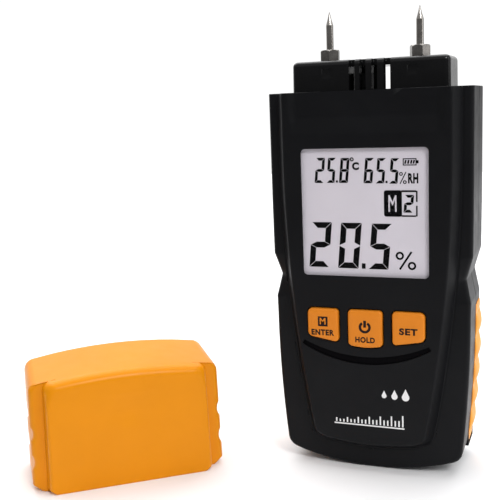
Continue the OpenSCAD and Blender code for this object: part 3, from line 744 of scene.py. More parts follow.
def front_case():
    rows = filleted(at_depths(
        (inset(CASE_ROW, SEAM), PARTING_Y), (CASE_ROW, PARTING_Y - SEAM),
        (CASE_ROW, WING_Y + valley(CASE_ROW[:, 1])), (GROOVE_ROW, WING_Y),
        (inset(GROOVE_ROW, 0.15), WING_Y + GROOVE_D), (PANEL_FOOT_ROW, WING_Y + GROOVE_D),
        (PANEL_FRONT_ROW, PANEL_Y), (inset(PANEL_FRONT_ROW, 1.3), PANEL_Y),
    ), [0, 1.25, 0.1, 0.1, 0.15, 0.55])
    near_side = np.linspace(0.01, 0.09, 6)
    columns = np.concatenate([near_side, np.linspace(0.13, 0.87, 12), 1 - near_side[::-1]])
    shell = faced_solid("front_case", rows, columns, brow_depth)
    skin_y = PANEL_Y + WALL
    cavity = prism("cavity", inset(CASE_ROW, WALL, True), WING_Y + WALL, PARTING_Y + 1)
    hollow = prism("hollow", inset(PANEL_FRONT_ROW, WALL, True), skin_y, WING_Y + WALL + 1)
    carve(shell, cavity, hollow)
    window = box_loop(*WINDOW_X, *WINDOW_Z, 1.3)
    (x0, x1), (z0, z1), wider = WINDOW_X, WINDOW_Z, LENS_REBATE
    rebate = box_loop(x0 - wider, x1 + wider, z0 - wider, z1 + wider, 1.5)
    carve(
        shell, *rods_y(CASE_SCREWS, WING_Y + 1, PARTING_Y - 0.1, CASE_BOSS_R),
        *rods_y(BOARD_SCREWS, skin_y - 1, BOARD_Y - 0.05, BOARD_BOSS_R), operation="UNION",
    )
    bores = rods_y(CASE_SCREWS, CASE_BORE_Y, PARTING_Y + 1, CASE_BORE_R)
    carve(shell, *bores, *rods_y(BOARD_SCREWS, BOARD_BORE_Y, BOARD_Y + 1, BOARD_BORE_R))
    key_holes = [side_key_loop(-KEY_GAP), side_key_loop(-KEY_GAP, -1), hold_key_loop(-KEY_GAP)]
    carve(
        shell, prism("window", window, PANEL_Y - 1, skin_y + 1),
        prism("rebate", rebate, PANEL_Y + LIP_T, skin_y + 1),
        *[prism("key_hole", loop, PANEL_Y - 1, skin_y + 1) for loop in key_holes],
        neck_tool(), prism("smile", smile_path(), PANEL_Y - 1, PANEL_Y + SMILE_D),
    )
    soften(shell, 0.2)
    weigh_edges(shell, off_the_smile)
    return finish_piece(shell, "case_black", CASE_BLACK, "front_shell")


BAY_X, BAY_Z, BAY_WALL, BAY_FLOOR_Y = 17.0, (11.5, 64.0), 1.6, 2.6
COVER_HIGH = box_mm("battery_cover")[1]
COVER_X, COVER_Z = COVER_HIGH[0], (14.0, COVER_HIGH[2])
COVER_T = 1.5
HINGE_Y, HINGE_Z, KNUCKLE_X, KNUCKLE_W = BACK_Y - 1.1, 12.0, 11.0, 5.0
KNUCKLE_R, AXLE_R = 1.1, 0.7
LUG_HALF_W, LUG_GAP = 1.3, 1.6
SCOOP_R, SCOOP_D, SCOOP_Z, SCOOP_HALF_W = 17.4, 0.8, 71, 6
FINGER_GROOVES = [56.5 + 1.8 * i for i in range(4)]
GRIP_LOW, GRIP_HIGH = box_mm("right_grip")
SCREW_SEAT_Y = 8.0
LEDGE_Y = 11.6


def rod_x(y, z, x0, x1, radius, count=24):
    ends = [np.stack([np.full(count, x), *(circle(radius, count, (y, z)).T)], 1) for x in (x0, x1)]
    return ring_solid("rod", ends)


def grip_zone(side, depth, margin, outer):
    """The space a grip takes up in the side of the case, from depth under the surface outward."""
    levels = np.linspace(GRIP_LOW[2] - margin, GRIP_HIGH[2] + margin, 12)
    inner = [(lower_side(z) - depth, z) for z in levels]
    path = np.array([(outer, levels[0]), (outer, levels[-1]), *inner[::-1]]) * (side, 1)
    return prism("grip_zone", path if side > 0 else path[::-1], GRIP_LOW[1] - margin, GRIP_HIGH[1] + margin)


def thumb_scoop():
    return rod_x(BACK_Y + SCOOP_R - SCOOP_D, SCOOP_Z, -SCOOP_HALF_W, SCOOP_HALF_W, SCOOP_R, 96)


def rear_ribs():
    """Everything that stands in the rear shell: the battery bay, its shelf, the lugs and the screw posts."""
    outer = BAY_X + BAY_WALL
    bay_z, back = (BAY_Z[0] - BAY_WALL, BAY_Z[1] + BAY_WALL), BACK_Y - 1.7
    solids = [
        block((-outer, BAY_FLOOR_Y - 1.4, bay_z[0]), (outer, back, bay_z[1])),
        block((-outer, LEDGE_Y, BAY_Z[1]), (outer, back, COVER_Z[1] + 2)),
    ]
    for side in (-1, 1):
        for off in (-1, 1):
            x = side * KNUCKLE_X + off * (KNUCKLE_W / 2 + LUG_GAP)
            low = (x - LUG_HALF_W, LEDGE_Y + 0.2, HINGE_Z - 1.8)
            high = (x + LUG_HALF_W, BACK_Y - 0.2, HINGE_Z + 1.6)
            solids.append(block(low, high))
        solids.append(grip_zone(side, 2.6, 0.5, WAIST_W - 1.9))
    return solids + rods_y(CASE_SCREWS, PARTING_Y + 0.1, BACK_Y - 1, POST_R)


def rear_cuts():
    open_x = COVER_X + 0.3
    cuts = [
        block((-open_x, BACK_Y - 1.8, COVER_Z[0] - 0.5), (open_x, BACK_Y + 1, COVER_Z[1] + 0.3)),
        block((-BAY_X, BAY_FLOOR_Y, BAY_Z[0]), (BAY_X, BACK_Y - 1.5, BAY_Z[1])),
        thumb_scoop(), neck_tool(),
    ]
    for side in (-1, 1):
        x0, x1 = side * KNUCKLE_X - KNUCKLE_W / 2, side * KNUCKLE_X + KNUCKLE_W / 2
        low, high = (x0 - 0.3, HINGE_Y - 1.5, HINGE_Z - 1.5), (x1 + 0.3, BACK_Y + 1, COVER_Z[0])
        cuts.append(block(low, high))
        cuts.append(rod_x(HINGE_Y, HINGE_Z, x0 - 1.6, x1 + 1.6, AXLE_R + 0.1))
        cuts.append(grip_zone(side, 1.0, 0.05, HALF_W + 2))
    cuts += rods_y(CASE_SCREWS, PARTING_Y - 1, BACK_Y + 1, POST_BORE_R)
    return cuts + rods_y(CASE_SCREWS, SCREW_SEAT_Y, BACK_Y + 1, WELL_R)


def rear_case():
    rows = filleted(at_depths(
        (inset(CASE_ROW, SEAM, True), PARTING_Y), (CASE_ROW, PARTING_Y + SEAM),
        (CASE_ROW, BACK_Y), (drawn_in(CASE_ROW, 3.9), BACK_Y),
    ), [0, 3.5], 8)
    shell = symmetric_solid("rear_case", rows)
    carve(shell, prism("cavity", inset(CASE_ROW, WALL, True), PARTING_Y - 1, BACK_Y - WALL))
    carve(shell, *rear_ribs(), operation="UNION")
    carve(shell, *rear_cuts())
    finish_piece(shell, "case_black", CASE_BLACK, "rear_shell")
    return soften(shell, 0.2)


def battery_door():
    """The battery cover: a plate with finger grooves, a thumb scoop and two hinge knuckles on their axles."""
    plate = prism("battery_door", box_loop(-COVER_X, COVER_X, *COVER_Z, 0.8), BACK_Y - COVER_T, BACK_Y)
    for side in (-1, 1):
        x0, x1 = side * KNUCKLE_X - KNUCKLE_W / 2, side * KNUCKLE_X + KNUCKLE_W / 2
        carve(
            plate, block((x0, BACK_Y - COVER_T, HINGE_Z), (x1, HINGE_Y + 0.9, COVER_Z[0] + 0.5)),
            rod_x(HINGE_Y, HINGE_Z, x0, x1, KNUCKLE_R),
            rod_x(HINGE_Y, HINGE_Z, x0 - 1.4, x1 + 1.4, AXLE_R),
            operation="UNION",
        )
    grooves = [block((-6, BACK_Y - 0.5, z), (6, BACK_Y + 1, z + 0.8)) for z in FINGER_GROOVES]
    carve(plate, thumb_scoop(), *grooves)
    finish_piece(plate, "case_black", CASE_BLACK, "battery_cover", body="battery_door")
    return soften(plate, 0.15)


# --- Buttons ---

KEY_FLANGE_Y = PANEL_Y + WALL + 0.4
KEY_FLANGE_T = 0.9
KEY_CROWN = 0.14


def key(name, loop, low, high, stem):
    """A key with a crowned face, the flange that keeps it in the case and the stem over its switch."""
    base = loop(-KEY_FLANGE)
    top_y = low[1]
    rings = filleted(at_depths(
        (base, KEY_FLANGE_Y + KEY_FLANGE_T), (base, KEY_FLANGE_Y), (loop(), KEY_FLANGE_Y),
        (loop(0.06), top_y + KEY_CROWN), (loop(1.6), top_y), (loop(2.4), top_y),
    ), [0.15, 0.15, 0.62, 0.5], 5)
    piece = ring_solid(name, rings)
    carve(piece, *rods_y([stem], KEY_FLANGE_Y + 0.4, high[1], 1.5), operation="UNION")
    return piece


def flat_marks(name, outlines, y_front, y_back):
    """Thin raised shapes on a face that looks along -Y."""
    return joined(name, [prism("mark", np.array(path, float), y_front, y_back) for path in outlines])


def words(text, x0, x1, z0, z1, bold=0.02):
    """Lettering stretched to fill a rectangle: its points, with depths from -1 to 0, and its faces."""
    curve = bpy.data.curves.new("words", "FONT")
    curve.body = text
    curve.offset = bold
    curve.space_character = 1 + 3 * bold
    curve.resolution_u = 6
    curve.extrude = 0.5
    source = into_scene("words", curve)
    mesh = as_shown(source)
    bpy.data.objects.remove(source)
    points = np.array([v.co for v in mesh.vertices])
    low, high = points.min(0), points.max(0)
    share = (points - low) / (high - low)
    placed = np.stack([x0 + share[:, 0] * (x1 - x0), -share[:, 2], z0 + share[:, 1] * (z1 - z0)], 1)
    faces = [tuple(p.vertices) for p in mesh.polygons]
    return placed, faces


def lettering(name, items, y_front, thickness):
    """Several words as one piece, standing thickness proud of the face behind them."""
    pieces = []
    for item in items:
        placed, faces = words(*item)
        placed[:, 1] = y_front + (1 + placed[:, 1]) * thickness
        pieces.append(new_piece("word", placed, faces))
    return joined(name, pieces)


def ring_mark(x, z, outer, inner, start, end):
    """Part of a flat ring; angles run from the top, clockwise."""
    turns = np.radians(np.linspace(start, end, 41))
    path = [(x + outer * math.sin(t), z + outer * math.cos(t)) for t in turns]
    return path + [(x + inner * math.sin(t), z + inner * math.cos(t)) for t in reversed(turns)]


def whole_ring(x, z, outer, inner):
    return [ring_mark(x, z, outer, inner, 0, 180), ring_mark(x, z, outer, inner, 180, 360)]


def slant_bar(start, end, width):
    (x0, z0), (x1, z1) = start, end
    length = math.hypot(x1 - x0, z1 - z0)
    nx, nz = -(z1 - z0) / length * width / 2, (x1 - x0) / length * width / 2
    return [(x0 - nx, z0 - nz), (x1 - nx, z1 - nz), (x1 + nx, z1 + nz), (x0 + nx, z0 + nz)]


def open_box(x0, x1, z0, z1, width):
    return [bar(x0, x1, z1 - width, z1), bar(x0, x1, z0, z0 + width),
            bar(x0, x0 + width, z0 + width, z1 - width), bar(x1 - width, x1, z0 + width, z1 - width)]


PRINT_T = 0.035


def key_legends():
    """The printed words and signs on the three keys, which are generic control words."""
    top_y = SIDE_KEY_LOW[1]
    front = top_y - PRINT_T
    back = top_y + 0.02
    enter = joined("enter_legend", [
        lettering("word", [("ENTER", -17.35, -10.1, 43.9, 45.75, 0.043)], front, PRINT_T + 0.02),
        flat_marks("mark", [bar(-15.2, -12.1, 46.75, 49.85)], front, back),
    ])
    letter = lettering("enter_letter", [("M", -14.6, -12.75, 47.35, 49.4)], front - 0.012, PRINT_T)
    hold = joined("hold_legend", [
        lettering("word", [("HOLD", -3.45, 2.65, 42.3, 44.1, 0.043)], front, PRINT_T + 0.02),
        flat_marks("mark", [
            ring_mark(-0.45, 47.15, 1.87, 1.1, 32, 328), slant_bar((-0.45, 47.1), (-0.45, 49.25), 0.85)
        ], front, back),
    ])
    setting = lettering("set_legend", [("SET", 10.05, 15.55, 45.45, 47.55, 0.043)], front, PRINT_T + 0.02)
    finish_piece(enter, "button_orange", LEGEND_DARK, body="enter_key")
    finish_piece(letter, "button_orange", KEY_ORANGE, body="enter_key")
    finish_piece(hold, "button_orange", LEGEND_DARK, body="hold_key")
    finish_piece(setting, "button_orange", LEGEND_DARK, body="set_key")


def keys():
    def left_loop(shrink=0.0):
        return side_key_loop(shrink, -1)

    side, middle = (SIDE_KEY_LOW, SIDE_KEY_HIGH), (HOLD_KEY_LOW, HOLD_KEY_HIGH)
    for name, loop, box, stem in (
        ("set", side_key_loop, side, (KEYS_X + 13.2, 47.3)),
        ("enter", left_loop, side, (KEYS_X - 13.2, 47.3)),
        ("hold", hold_key_loop, middle, (KEYS_X, 46.2)),
    ):
        piece = key(name + "_cap", loop, *box, stem)
        finish_piece(piece, "button_orange", KEY_ORANGE, name + "_button", body=name + "_key")
        soften(piece, 0.06, 2, 40)
    key_legends()


# --- Display ---

GLASS_LOW, GLASS_HIGH = box_mm("lcd_glass")
GLASS_Z = (GLASS_LOW[2] + GLASS_HIGH[2]) / 2
SLANT = 0.09
SEGMENTS = {
    "0": "abcdef", "2": "abged", "5": "afgcd", "6": "afgedc", "8": "abcdefg",
}


def segment_shapes(width, height, stroke, gap):
    """The seven tapered segments of one upright figure with its lower left corner at the origin."""
    mid, half = height / 2, stroke / 2
    left_x, right_x = stroke + gap, width - stroke - gap
    top = [(gap, height), (left_x, height - stroke), (right_x, height - stroke), (width - gap, height)]
    right = [(width, height - gap), (width - stroke, height - stroke - gap),
             (width - stroke, mid + half + gap), (width, mid + gap)]
    left = [(width - x, z) for x, z in right]
    across = [(gap, mid), (left_x, mid - half), (right_x, mid - half),
              (width - gap, mid), (right_x, mid + half), (left_x, mid + half)]

    def below(shape):
        return [(x, height - z) for x, z in shape]

    return {
        "a": top, "b": right, "c": below(right), "d": below(top), "e": below(left), "f": left, "g": across,
    }


def figure(digit, low, high, stroke, gap):
    """A slanted seven-segment figure that fills the rectangle from low to high."""
    height = high[1] - low[1]
    shapes = segment_shapes(high[0] - low[0] - SLANT * height, height, stroke, gap)
    return [[(low[0] + x + SLANT * z, low[1] + z) for x, z in shapes[name]] for name in SEGMENTS[digit]]


def percent_sign(lower_ring, upper_ring, radius, width, start, end):
    """A percent sign from the middles of its rings and the ends of its bar."""
    rings = [whole_ring(*middle, radius, radius - width) for middle in (lower_ring, upper_ring)]
    return [*rings[0], *rings[1], slant_bar(start, end, width)]


def lcd_marks():
    """Everything that the display shows but its letters. Heights run from the middle of the glass."""
    shapes = []
    for stroke, gap, figures in (
        (1.8, 0.1, [
            ("2", (-18.2, -16.95), (-10.7, -3.0)), ("0", (-9.05, -17.1), (-1.4, -3.1)),
            ("5", (0.45, -17.15), (7.75, -3.25)),
        ]),
        (0.84, 0.07, [
            ("2", (-15.85, 9.0), (-12.4, 16.6)), ("5", (-12.1, 9.0), (-8.95, 16.55)),
            ("8", (-8.2, 9.0), (-4.8, 16.45)), ("6", (-0.7, 8.85), (2.65, 16.35)),
            ("5", (2.95, 8.8), (6.2, 16.25)), ("5", (6.95, 8.7), (10.15, 16.15)),
            ("2", (11.2, 0.15), (14.35, 5.4)),
        ]),
    ):
        for digit, low, high in figures:
            shapes += figure(digit, low, high, stroke, gap)
    points = [bar(-1.6, -0.45, -17.1, -15.45), bar(-9.15, -8.55, 9.1, 9.75), bar(5.95, 6.55, 8.9, 9.55)]
    shapes += points + percent_sign((13.6, -15.8), (10.0, -12.85), 1.25, 0.6, (9.95, -17.0), (13.5, -11.55))
    shapes += percent_sign((11.65, 9.15), (10.55, 11.55), 0.55, 0.3, (10.25, 8.65), (12.0, 12.1))
    shapes += whole_ring(-4.15, 16.0, 0.6, 0.26)
    # Battery sign: its case, its button and slanted bars
    shapes += [*open_box(11.1, 15.1, 14.0, 16.1, 0.28), bar(15.1, 15.7, 14.6, 15.5)]
    shapes += [slant_bar((x, 14.5), (x + 0.25, 15.6), 0.5) for x in (11.75, 12.6, 13.45, 14.2)]
    # Mode sign: a solid box with a letter and a framed figure beside it
    shapes += [
        box_loop(5.4, 10.75, -1.1, 6.75, 0.7), bar(10.6, 14.9, 6.2, 6.75), bar(10.6, 14.9, -1.1, -0.65),
        bar(14.9, 15.35, 3.3, 6.6), bar(14.9, 15.35, -0.95, 2.2),
    ]
    return [[(x, GLASS_Z + z) for x, z in path] for path in shapes]


def display():
    front = GLASS_LOW[1] - 0.04
    z = GLASS_Z
    ink = joined("lcd_figures", [
        flat_marks("mark", lcd_marks(), front, GLASS_LOW[1] + 0.02),
        lettering("word", [
            ("C", -4.1, -2.0, z + 12.8, z + 15.15, 0.055), ("RH", 12.6, 15.6, z + 8.75, z + 11.75, 0.05),
        ], front, 0.06),
    ])
    letter = lettering("lcd_letter", [("M", 6.75, 9.15, z + 0.35, z + 5.3, 0.01)], front - 0.015, 0.05)
    finish_piece(ink, "lcd_face", LCD_INK)
    finish_piece(letter, "lcd_face", LCD_FACE)
    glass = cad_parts["lcd_glass"]
    paint(glass, LCD_FACE)


def lens():
    step_y = PANEL_Y + LIP_T + 0.05
    top_y = LENS_LOW[1]
    window = box_loop(WINDOW_X[0] + 0.1, WINDOW_X[1] - 0.1, WINDOW_Z[0] + 0.1, WINDOW_Z[1] - 0.1, 1.2)
    flange = box_loop(LENS_LOW[0], LENS_HIGH[0], LENS_LOW[2], LENS_HIGH[2], 1.5)
    piece = ring_solid("display_window", filleted(at_depths(
        (flange, LENS_HIGH[1]), (flange, step_y), (window, step_y), (window, top_y),
        (inset(window, 1, True), top_y),
    ), [0.05, 0.05, 0.15], 3))
    return finish_piece(piece, "clear_lens", CLEAR_LENS, "display_lens")


# --- Printed marks ---

def droplet(x, z, size):
    """A water drop with its point up."""
    low = [(x + size * 0.5 * math.sin(t), z - size * 0.5 * math.cos(t)) for t in np.linspace(-2.2, 2.2, 26)]
    return low + [(x, z + size * 1.15)]


def printed_marks():
    """Generic signs where the real case has its printing: drops, and a scale that rises from dry to wet."""
    shapes = [droplet(x, 25.5, size) for x, size in ((5.0, 1.5), (8.2, 1.9), (11.6, 2.3))]
    ticks = 19
    for i in range(ticks):
        x = -10.2 + i * 1.16
        rise = 1.2 + 2.4 * i / (ticks - 1) if i % 3 == 0 else 0.8 + 1.2 * i / (ticks - 1)
        shapes.append(bar(x - 0.22, x + 0.22, 15.9, 15.9 + rise))
    shapes.append(bar(-10.9, 11.2, 15.2, 15.6))
    marks = flat_marks("printed_marks", shapes, PANEL_Y - PRINT_T, PANEL_Y + 0.02)
    finish_piece(marks, "case_black", PRINT_WHITE)


# --- Grips ---

RIB_TOP_Z = 44.8
RIB_PITCH = 7.9
RIB_H = 1.05
GRIP_PROUD = 0.12
GRIP_SUNK = 0.93


def grip(side):
    depths = np.linspace(0, 1, 13)
    ys = GRIP_LOW[1] + depths * (GRIP_HIGH[1] - GRIP_LOW[1])
    across = 1 - np.abs(2 * depths - 1) ** 3.5
    rings = []
    for z in np.linspace(GRIP_LOW[2], GRIP_HIGH[2], 140):
        rise = RIB_H * abs(math.cos(math.pi * (z - RIB_TOP_Z) / RIB_PITCH)) ** 0.85
        ends = min(1.0, (GRIP_HIGH[2] - z) / 2.5, (z - GRIP_LOW[2]) / 4)
        outer = lower_side(z) + GRIP_PROUD + ends * rise * (0.25 + 0.75 * across)
        inner = np.full(2, lower_side(z) - GRIP_SUNK)
        x = np.concatenate([outer, inner]) * side
        y = np.concatenate([ys, [ys[-1], ys[0]]])
        rings.append(np.stack([x, y, np.full(len(x), z)], 1))
    name = "right" if side > 0 else "left"
    piece = ring_solid(name + "_grip_pad", rings)
    finish_piece(piece, "orange_grip", GRIP_ORANGE, name + "_grip")
    return soften(piece, 0.25, 3, 50)


# --- Probe head ---

HEAD_X = HEAD_HIGH[0] - 0.5
HEAD_TOP_Z = HEAD_HIGH[2]
HEAD_CORNER_R = 1.9
HEAD_DRAFT = 0.12
HEAD_EDGE_R = 1.5
FLANGE_DROP = 2.8
VENT_SLOTS = [(-6, -4.2), (-2.7, -0.9), (0.9, 2.6), (4.6, 6.6)]
BACK_SLOTS = [(-4, -1.9), (1.3, 3.5)]
VENT_BAR_D = 3.3
VENT_ROOF = 2.0
RECESS_X = 13
RECESS_W = 1.6
RECESS_Z = (121.7, 125)
RECESS_D = 0.35
SOCKET_R = 2.63
PIN_SHANK_R = 1.12
PIN_POINT_H = 3.9
THREAD_D = 0.12
NUT_FLATS = 5.5
NUT_BORE_R = 1.48
NUT_TURNS = (38, -7)


def at_height(path, z):
    return np.stack([path[:, 0], path[:, 1], np.broadcast_to(z, len(path))], 1)


def square_recess(x, front):
    """The tool for a square recess whose foot and left wall slope."""
    x0, x1, (z0, z1) = x - RECESS_W, x + RECESS_W, RECESS_Z
    mouth = np.array(bar(x0, x1, z0, z1), float)
    floor = np.array(bar(x0 + 0.28, x1, z0 + 0.6, z1), float)
    return ring_solid("recess", at_depths((mouth, front - 1), (mouth, front), (floor, front + RECESS_D)))


def head():
    plan = box_loop(-HEAD_X, HEAD_X, HEAD_LOW[1], HEAD_HIGH[1], HEAD_CORNER_R)
    draft = inset(plan, HEAD_DRAFT, True)
    body = ring_solid("probe_housing", filleted([
        at_height(plan, SHOULDER_Z + 0.02), at_height(draft, HEAD_TOP_Z),
        at_height(inset(plan, HEAD_CORNER_R - 0.01, True), HEAD_TOP_Z),
    ], [HEAD_EDGE_R], 7))
    front, low_z, back = HEAD_LOW[1], HEAD_LOW[2], HEAD_HIGH[1]
    neck_x, flange_x = HEAD_X - 2, HEAD_X + 0.5
    carve(
        body, block((-neck_x, front + 2, low_z), (neck_x, back - 2, SHOULDER_Z + 1)),
        block((-flange_x, front + 1, low_z), (flange_x, back - 1, SHOULDER_Z - FLANGE_DROP)),
        operation="UNION",
    )
    bay = (VENT_SLOTS[0][0], VENT_SLOTS[3][1])
    roof_z = HEAD_TOP_Z - VENT_ROOF
    tools = [block((bay[0], front + VENT_BAR_D, low_z - 1), (bay[1], back - VENT_BAR_D, roof_z))]
    vent_z, bar_d = SHOULDER_Z - 0.5, VENT_BAR_D + 0.1
    for x0, x1 in VENT_SLOTS:
        tools.append(block((x0, front - 1, vent_z), (x1, front + bar_d, HEAD_TOP_Z + 1)))
    for x0, x1 in BACK_SLOTS:
        tools.append(block((x0, back - bar_d, vent_z), (x1, back + 1, roof_z)))
    for side in (-1, 1):
        tools.append(lathe("socket", [(SOCKET_R, low_z - 1), (SOCKET_R, HEAD_TOP_Z + 1)], side * PIN_X))
        tools.append(square_recess(side * RECESS_X, front))
    carve(body, *tools)
    finish_piece(body, "head_black", HEAD_BLACK, "probe_head")
    return soften(body, 0.13)


def pins():
    """Turned steel pins: a threaded foot in the socket, a plain shank and a ground point."""
    foot_z, thread_r = PIN_LOW[2], (PIN_HIGH[0] - PIN_LOW[0]) / 2
    shank_r = PIN_SHANK_R
    point_z = PIN_TIP_Z - PIN_POINT_H
    thread = [(thread_r - (THREAD_D if i % 2 else 0), foot_z + 0.3 + i * 0.25) for i in range(52)]
    for side, name in ((-1, "left"), (1, "right")):
        piece = lathe(name + "_probe_pin", [
            (thread_r - 0.3, foot_z), *thread, (thread_r, NUT_HIGH_Z - 0.05), (shank_r + 0.12, NUT_HIGH_Z),
            (shank_r, NUT_HIGH_Z + 0.15), (shank_r, point_z - 0.25), (shank_r - 0.03, point_z),
            (shank_r * 0.5, (point_z + PIN_TIP_Z) / 2 - 0.1), (0.1, PIN_TIP_Z - 0.1), (0.03, PIN_TIP_Z),
        ], side * PIN_X)
        piece.data.shade_smooth()
        finish_piece(piece, "pin_steel", PIN_STEEL, name + "_pin")
        soften(piece, 0.04, 2, 35)


def nuts():
    corner_r = NUT_FLATS / 2 / math.cos(math.radians(30))
    made = []
    for side, turn in zip((-1, 1), NUT_TURNS):
        turns = np.radians(turn + np.arange(6) * 60)
        hexagon = np.stack([side * PIN_X + corner_r * np.cos(turns), corner_r * np.sin(turns)], 1)
        nut = ring_solid("nut", [at_height(hexagon, NUT_LOW_Z), at_height(hexagon, NUT_HIGH_Z)])
        crown = lathe("crown", [
            (NUT_FLATS / 2 - 0.1, NUT_LOW_Z - 0.05), (corner_r + 0.05, NUT_LOW_Z + 0.45),
            (corner_r + 0.05, NUT_HIGH_Z - 0.45), (NUT_FLATS / 2 - 0.1, NUT_HIGH_Z + 0.05),
        ], side * PIN_X)
        carve(nut, crown, operation="INTERSECT")
        bore = [(NUT_BORE_R, NUT_LOW_Z - 1), (NUT_BORE_R, NUT_HIGH_Z + 1)]
        carve(nut, lathe("bore", bore, side * PIN_X))
        made.append(nut)
    piece = joined("probe_nuts", made)
    finish_piece(piece, "nut_steel", NUT_STEEL, "pin_nuts")
    return soften(piece, 0.08)


# --- Cap ---

CAP_TURN = math.radians(38)
CAP_W = 30.3
CAP_D = 30.0
CAP_H = 36.0
CAP_DOME = 2.8
CAP_FALL = 2.2
CAP_TAPER = 0.7
CAP_WALL = 1.8
CAP_PANEL_W = CAP_W - 5
CAP_STEP_W = CAP_W - 4.2
CAP_SHARED_X = 20.5
CAP_NOTCHES = (10.0, 19.5)


def cap_top_z(x):
    return CAP_H + CAP_DOME * (1 - (x / (CAP_W - CAP_TAPER)) ** 2)


def fallen(points):
    """Lowers the cap's top towards its front."""
    points[:, 2] *= 1 - CAP_FALL / CAP_H * (0.5 - points[:, 1] / CAP_D)
    return points


def cap_row(low_w, chamfer, radius, down=0.0):
    """The cap's outline from the right foot over the dome to the left foot; any two match point for point."""
    top_w = low_w - CAP_TAPER
    side = [(low_w - CAP_TAPER * z / CAP_H, z, 0) for z in np.linspace(chamfer + 1, CAP_H - 6 - down, 44)]
    dome_x = min(CAP_SHARED_X, top_w - radius - 0.5)
    dome = [(x, cap_top_z(x) - down, 0) for x in np.linspace(dome_x, 0, 16)]
    half = round_path([
        (low_w - chamfer, 0, 0), (low_w, chamfer, 0.6), *side,
        (top_w, cap_top_z(top_w) - down, radius), *dome,
    ], 10)
    return np.vstack([half, half[-2::-1] * (-1, 1)])


def cap_shell():
    """The cap in its own frame: its middle at the origin, its front towards -Y."""
    front_y, back_y = -CAP_D / 2, CAP_D / 2
    wing_y = front_y + PANEL_RISE
    wing = cap_row(CAP_W, 2.4, 3.4)
    foot = cap_row(CAP_STEP_W, 1.4, 3.2)
    face = cap_row(CAP_PANEL_W, 1.4, 3.0, 0.25)
    face_in = cap_row(CAP_PANEL_W - 5, 1.2, 1.5, 5)
    stepped = np.clip((np.abs(wing[:, 0]) - CAP_SHARED_X) / 2.5, 0, 1)
    upper = ease((face[:, 1] - CAP_H + 4.5) / 3.5)

    def notched(row, y):
        x, z = row[:, 0], row[:, 1]
        dent = sum(np.clip(1 - ((z - at) / 2.5) ** 2, 0, 1) ** 0.8 for at in CAP_NOTCHES)
        return np.stack([x - np.sign(x) * 0.85 * dent * ease((y - wing_y + 3) / 6), z], 1)

    rows = [
        at_depth(cap_row(CAP_W - 5.5, 2.4, 1.5, 5), back_y),
        *[at_depth(notched(wing, y), y) for y in (back_y, -6, -7.5, -9, wing_y)],
        *at_depths((foot, wing_y), (face, front_y), (face_in, front_y)),
    ]
    radii = [4.0, 0, 0, 0, 1.9 * stepped, 0.3 * stepped, 1.0 + 1.7 * upper]
    return [fallen(row) for row in filleted(rows, radii, 6)]


def thumb_dimple(x, z):
    """The shallow hollow in the middle of the cap's face."""
    return 0.5 * math.exp(-1.8 * ((x / 8.5) ** 2 + ((z - 23.5) / 6) ** 2)) * float(ease((30 - z) / 6))


def cap():
    piece = faced_solid("push_on_cap", cap_shell(), np.arange(1, 24) / 24, thumb_dimple)

    def space(low_w, y0, y1):
        top_w, lip = low_w - CAP_TAPER, CAP_WALL + 0.5
        dome = [(x, cap_top_z(x) - lip, 0) for x in np.linspace(top_w - 3, -top_w + 3, 17)]
        shoulder_z = cap_top_z(top_w) - lip
        right, left = [(low_w, -1, 0), (top_w, shoulder_z, 2)], [(-top_w, shoulder_z, 2), (-low_w, -1, 0)]
        path = round_loop([*right, *dome, *left], 6)
        return ring_solid("space", [fallen(at_depth(path, y)) for y in (y0, y1)])

    front_y, back_y = -CAP_D / 2, CAP_D / 2
    carve(
        piece,
        space(CAP_W - CAP_WALL - 0.9, front_y + PANEL_RISE + CAP_WALL, back_y - CAP_WALL),
        space(CAP_PANEL_W - CAP_WALL, front_y + CAP_WALL, front_y + PANEL_RISE + CAP_WALL + 1),
    )
    low, high = box_mm("cap")
    points = np.array([v.co for v in piece.data.vertices]) / MM
    turn = np.array([[math.cos(CAP_TURN), -math.sin(CAP_TURN)], [math.sin(CAP_TURN), math.cos(CAP_TURN)]])
    turned = points[:, :2] @ turn.T
    middle = (turned.min(0) + turned.max(0)) / 2
    shift = (low[:2] + high[:2]) / 2 - middle
    piece.data.transform(
        Matrix.Translation((shift[0] * MM, shift[1] * MM, 0)) @ Matrix.Rotation(CAP_TURN, 4, "Z")
    )
    finish_piece(piece, "cap_orange", CAP_ORANGE, "cap", body="loose_cap")
    return soften(piece, 0.2, 3, 40)


# --- Inner parts ---

def coil(name, x, y, z0, z1, r0, r1, wire_r, turns, ring_steps=8):
    """A conical spring of round wire."""
    count = turns * 20
    rings = []
    for i in range(count + 1):
        t = i / count
        angle, radius = t * turns * 2 * math.pi, r0 + (r1 - r0) * t
        centre = np.array([x + radius * math.cos(angle), y + radius * math.sin(angle), z0 + (z1 - z0) * t])
        outward = np.array([math.cos(angle), math.sin(angle), 0])
        section = circle(wire_r, ring_steps)
        rings.append(np.array([centre + a * outward + np.array([0, 0, b]) for a, b in section]))
    piece = ring_solid(name, rings)
    piece.data.shade_smooth()
    return piece


def springs():
    low, high = box_mm("battery_springs")
    y, radius = (low[1] + high[1]) / 2, (high[1] - low[1]) / 2
    made = [
        coil("coil", x, y, low[2] + 0.3, high[2] - 0.3, radius - 0.3, 2.5, 0.28, 4)
        for x in (low[0] + radius, (low[0] + high[0]) / 2, high[0] - radius)
    ]
    finish_piece(joined("cell_springs", made), "bright_metal", SPRING_STEEL, "battery_springs")


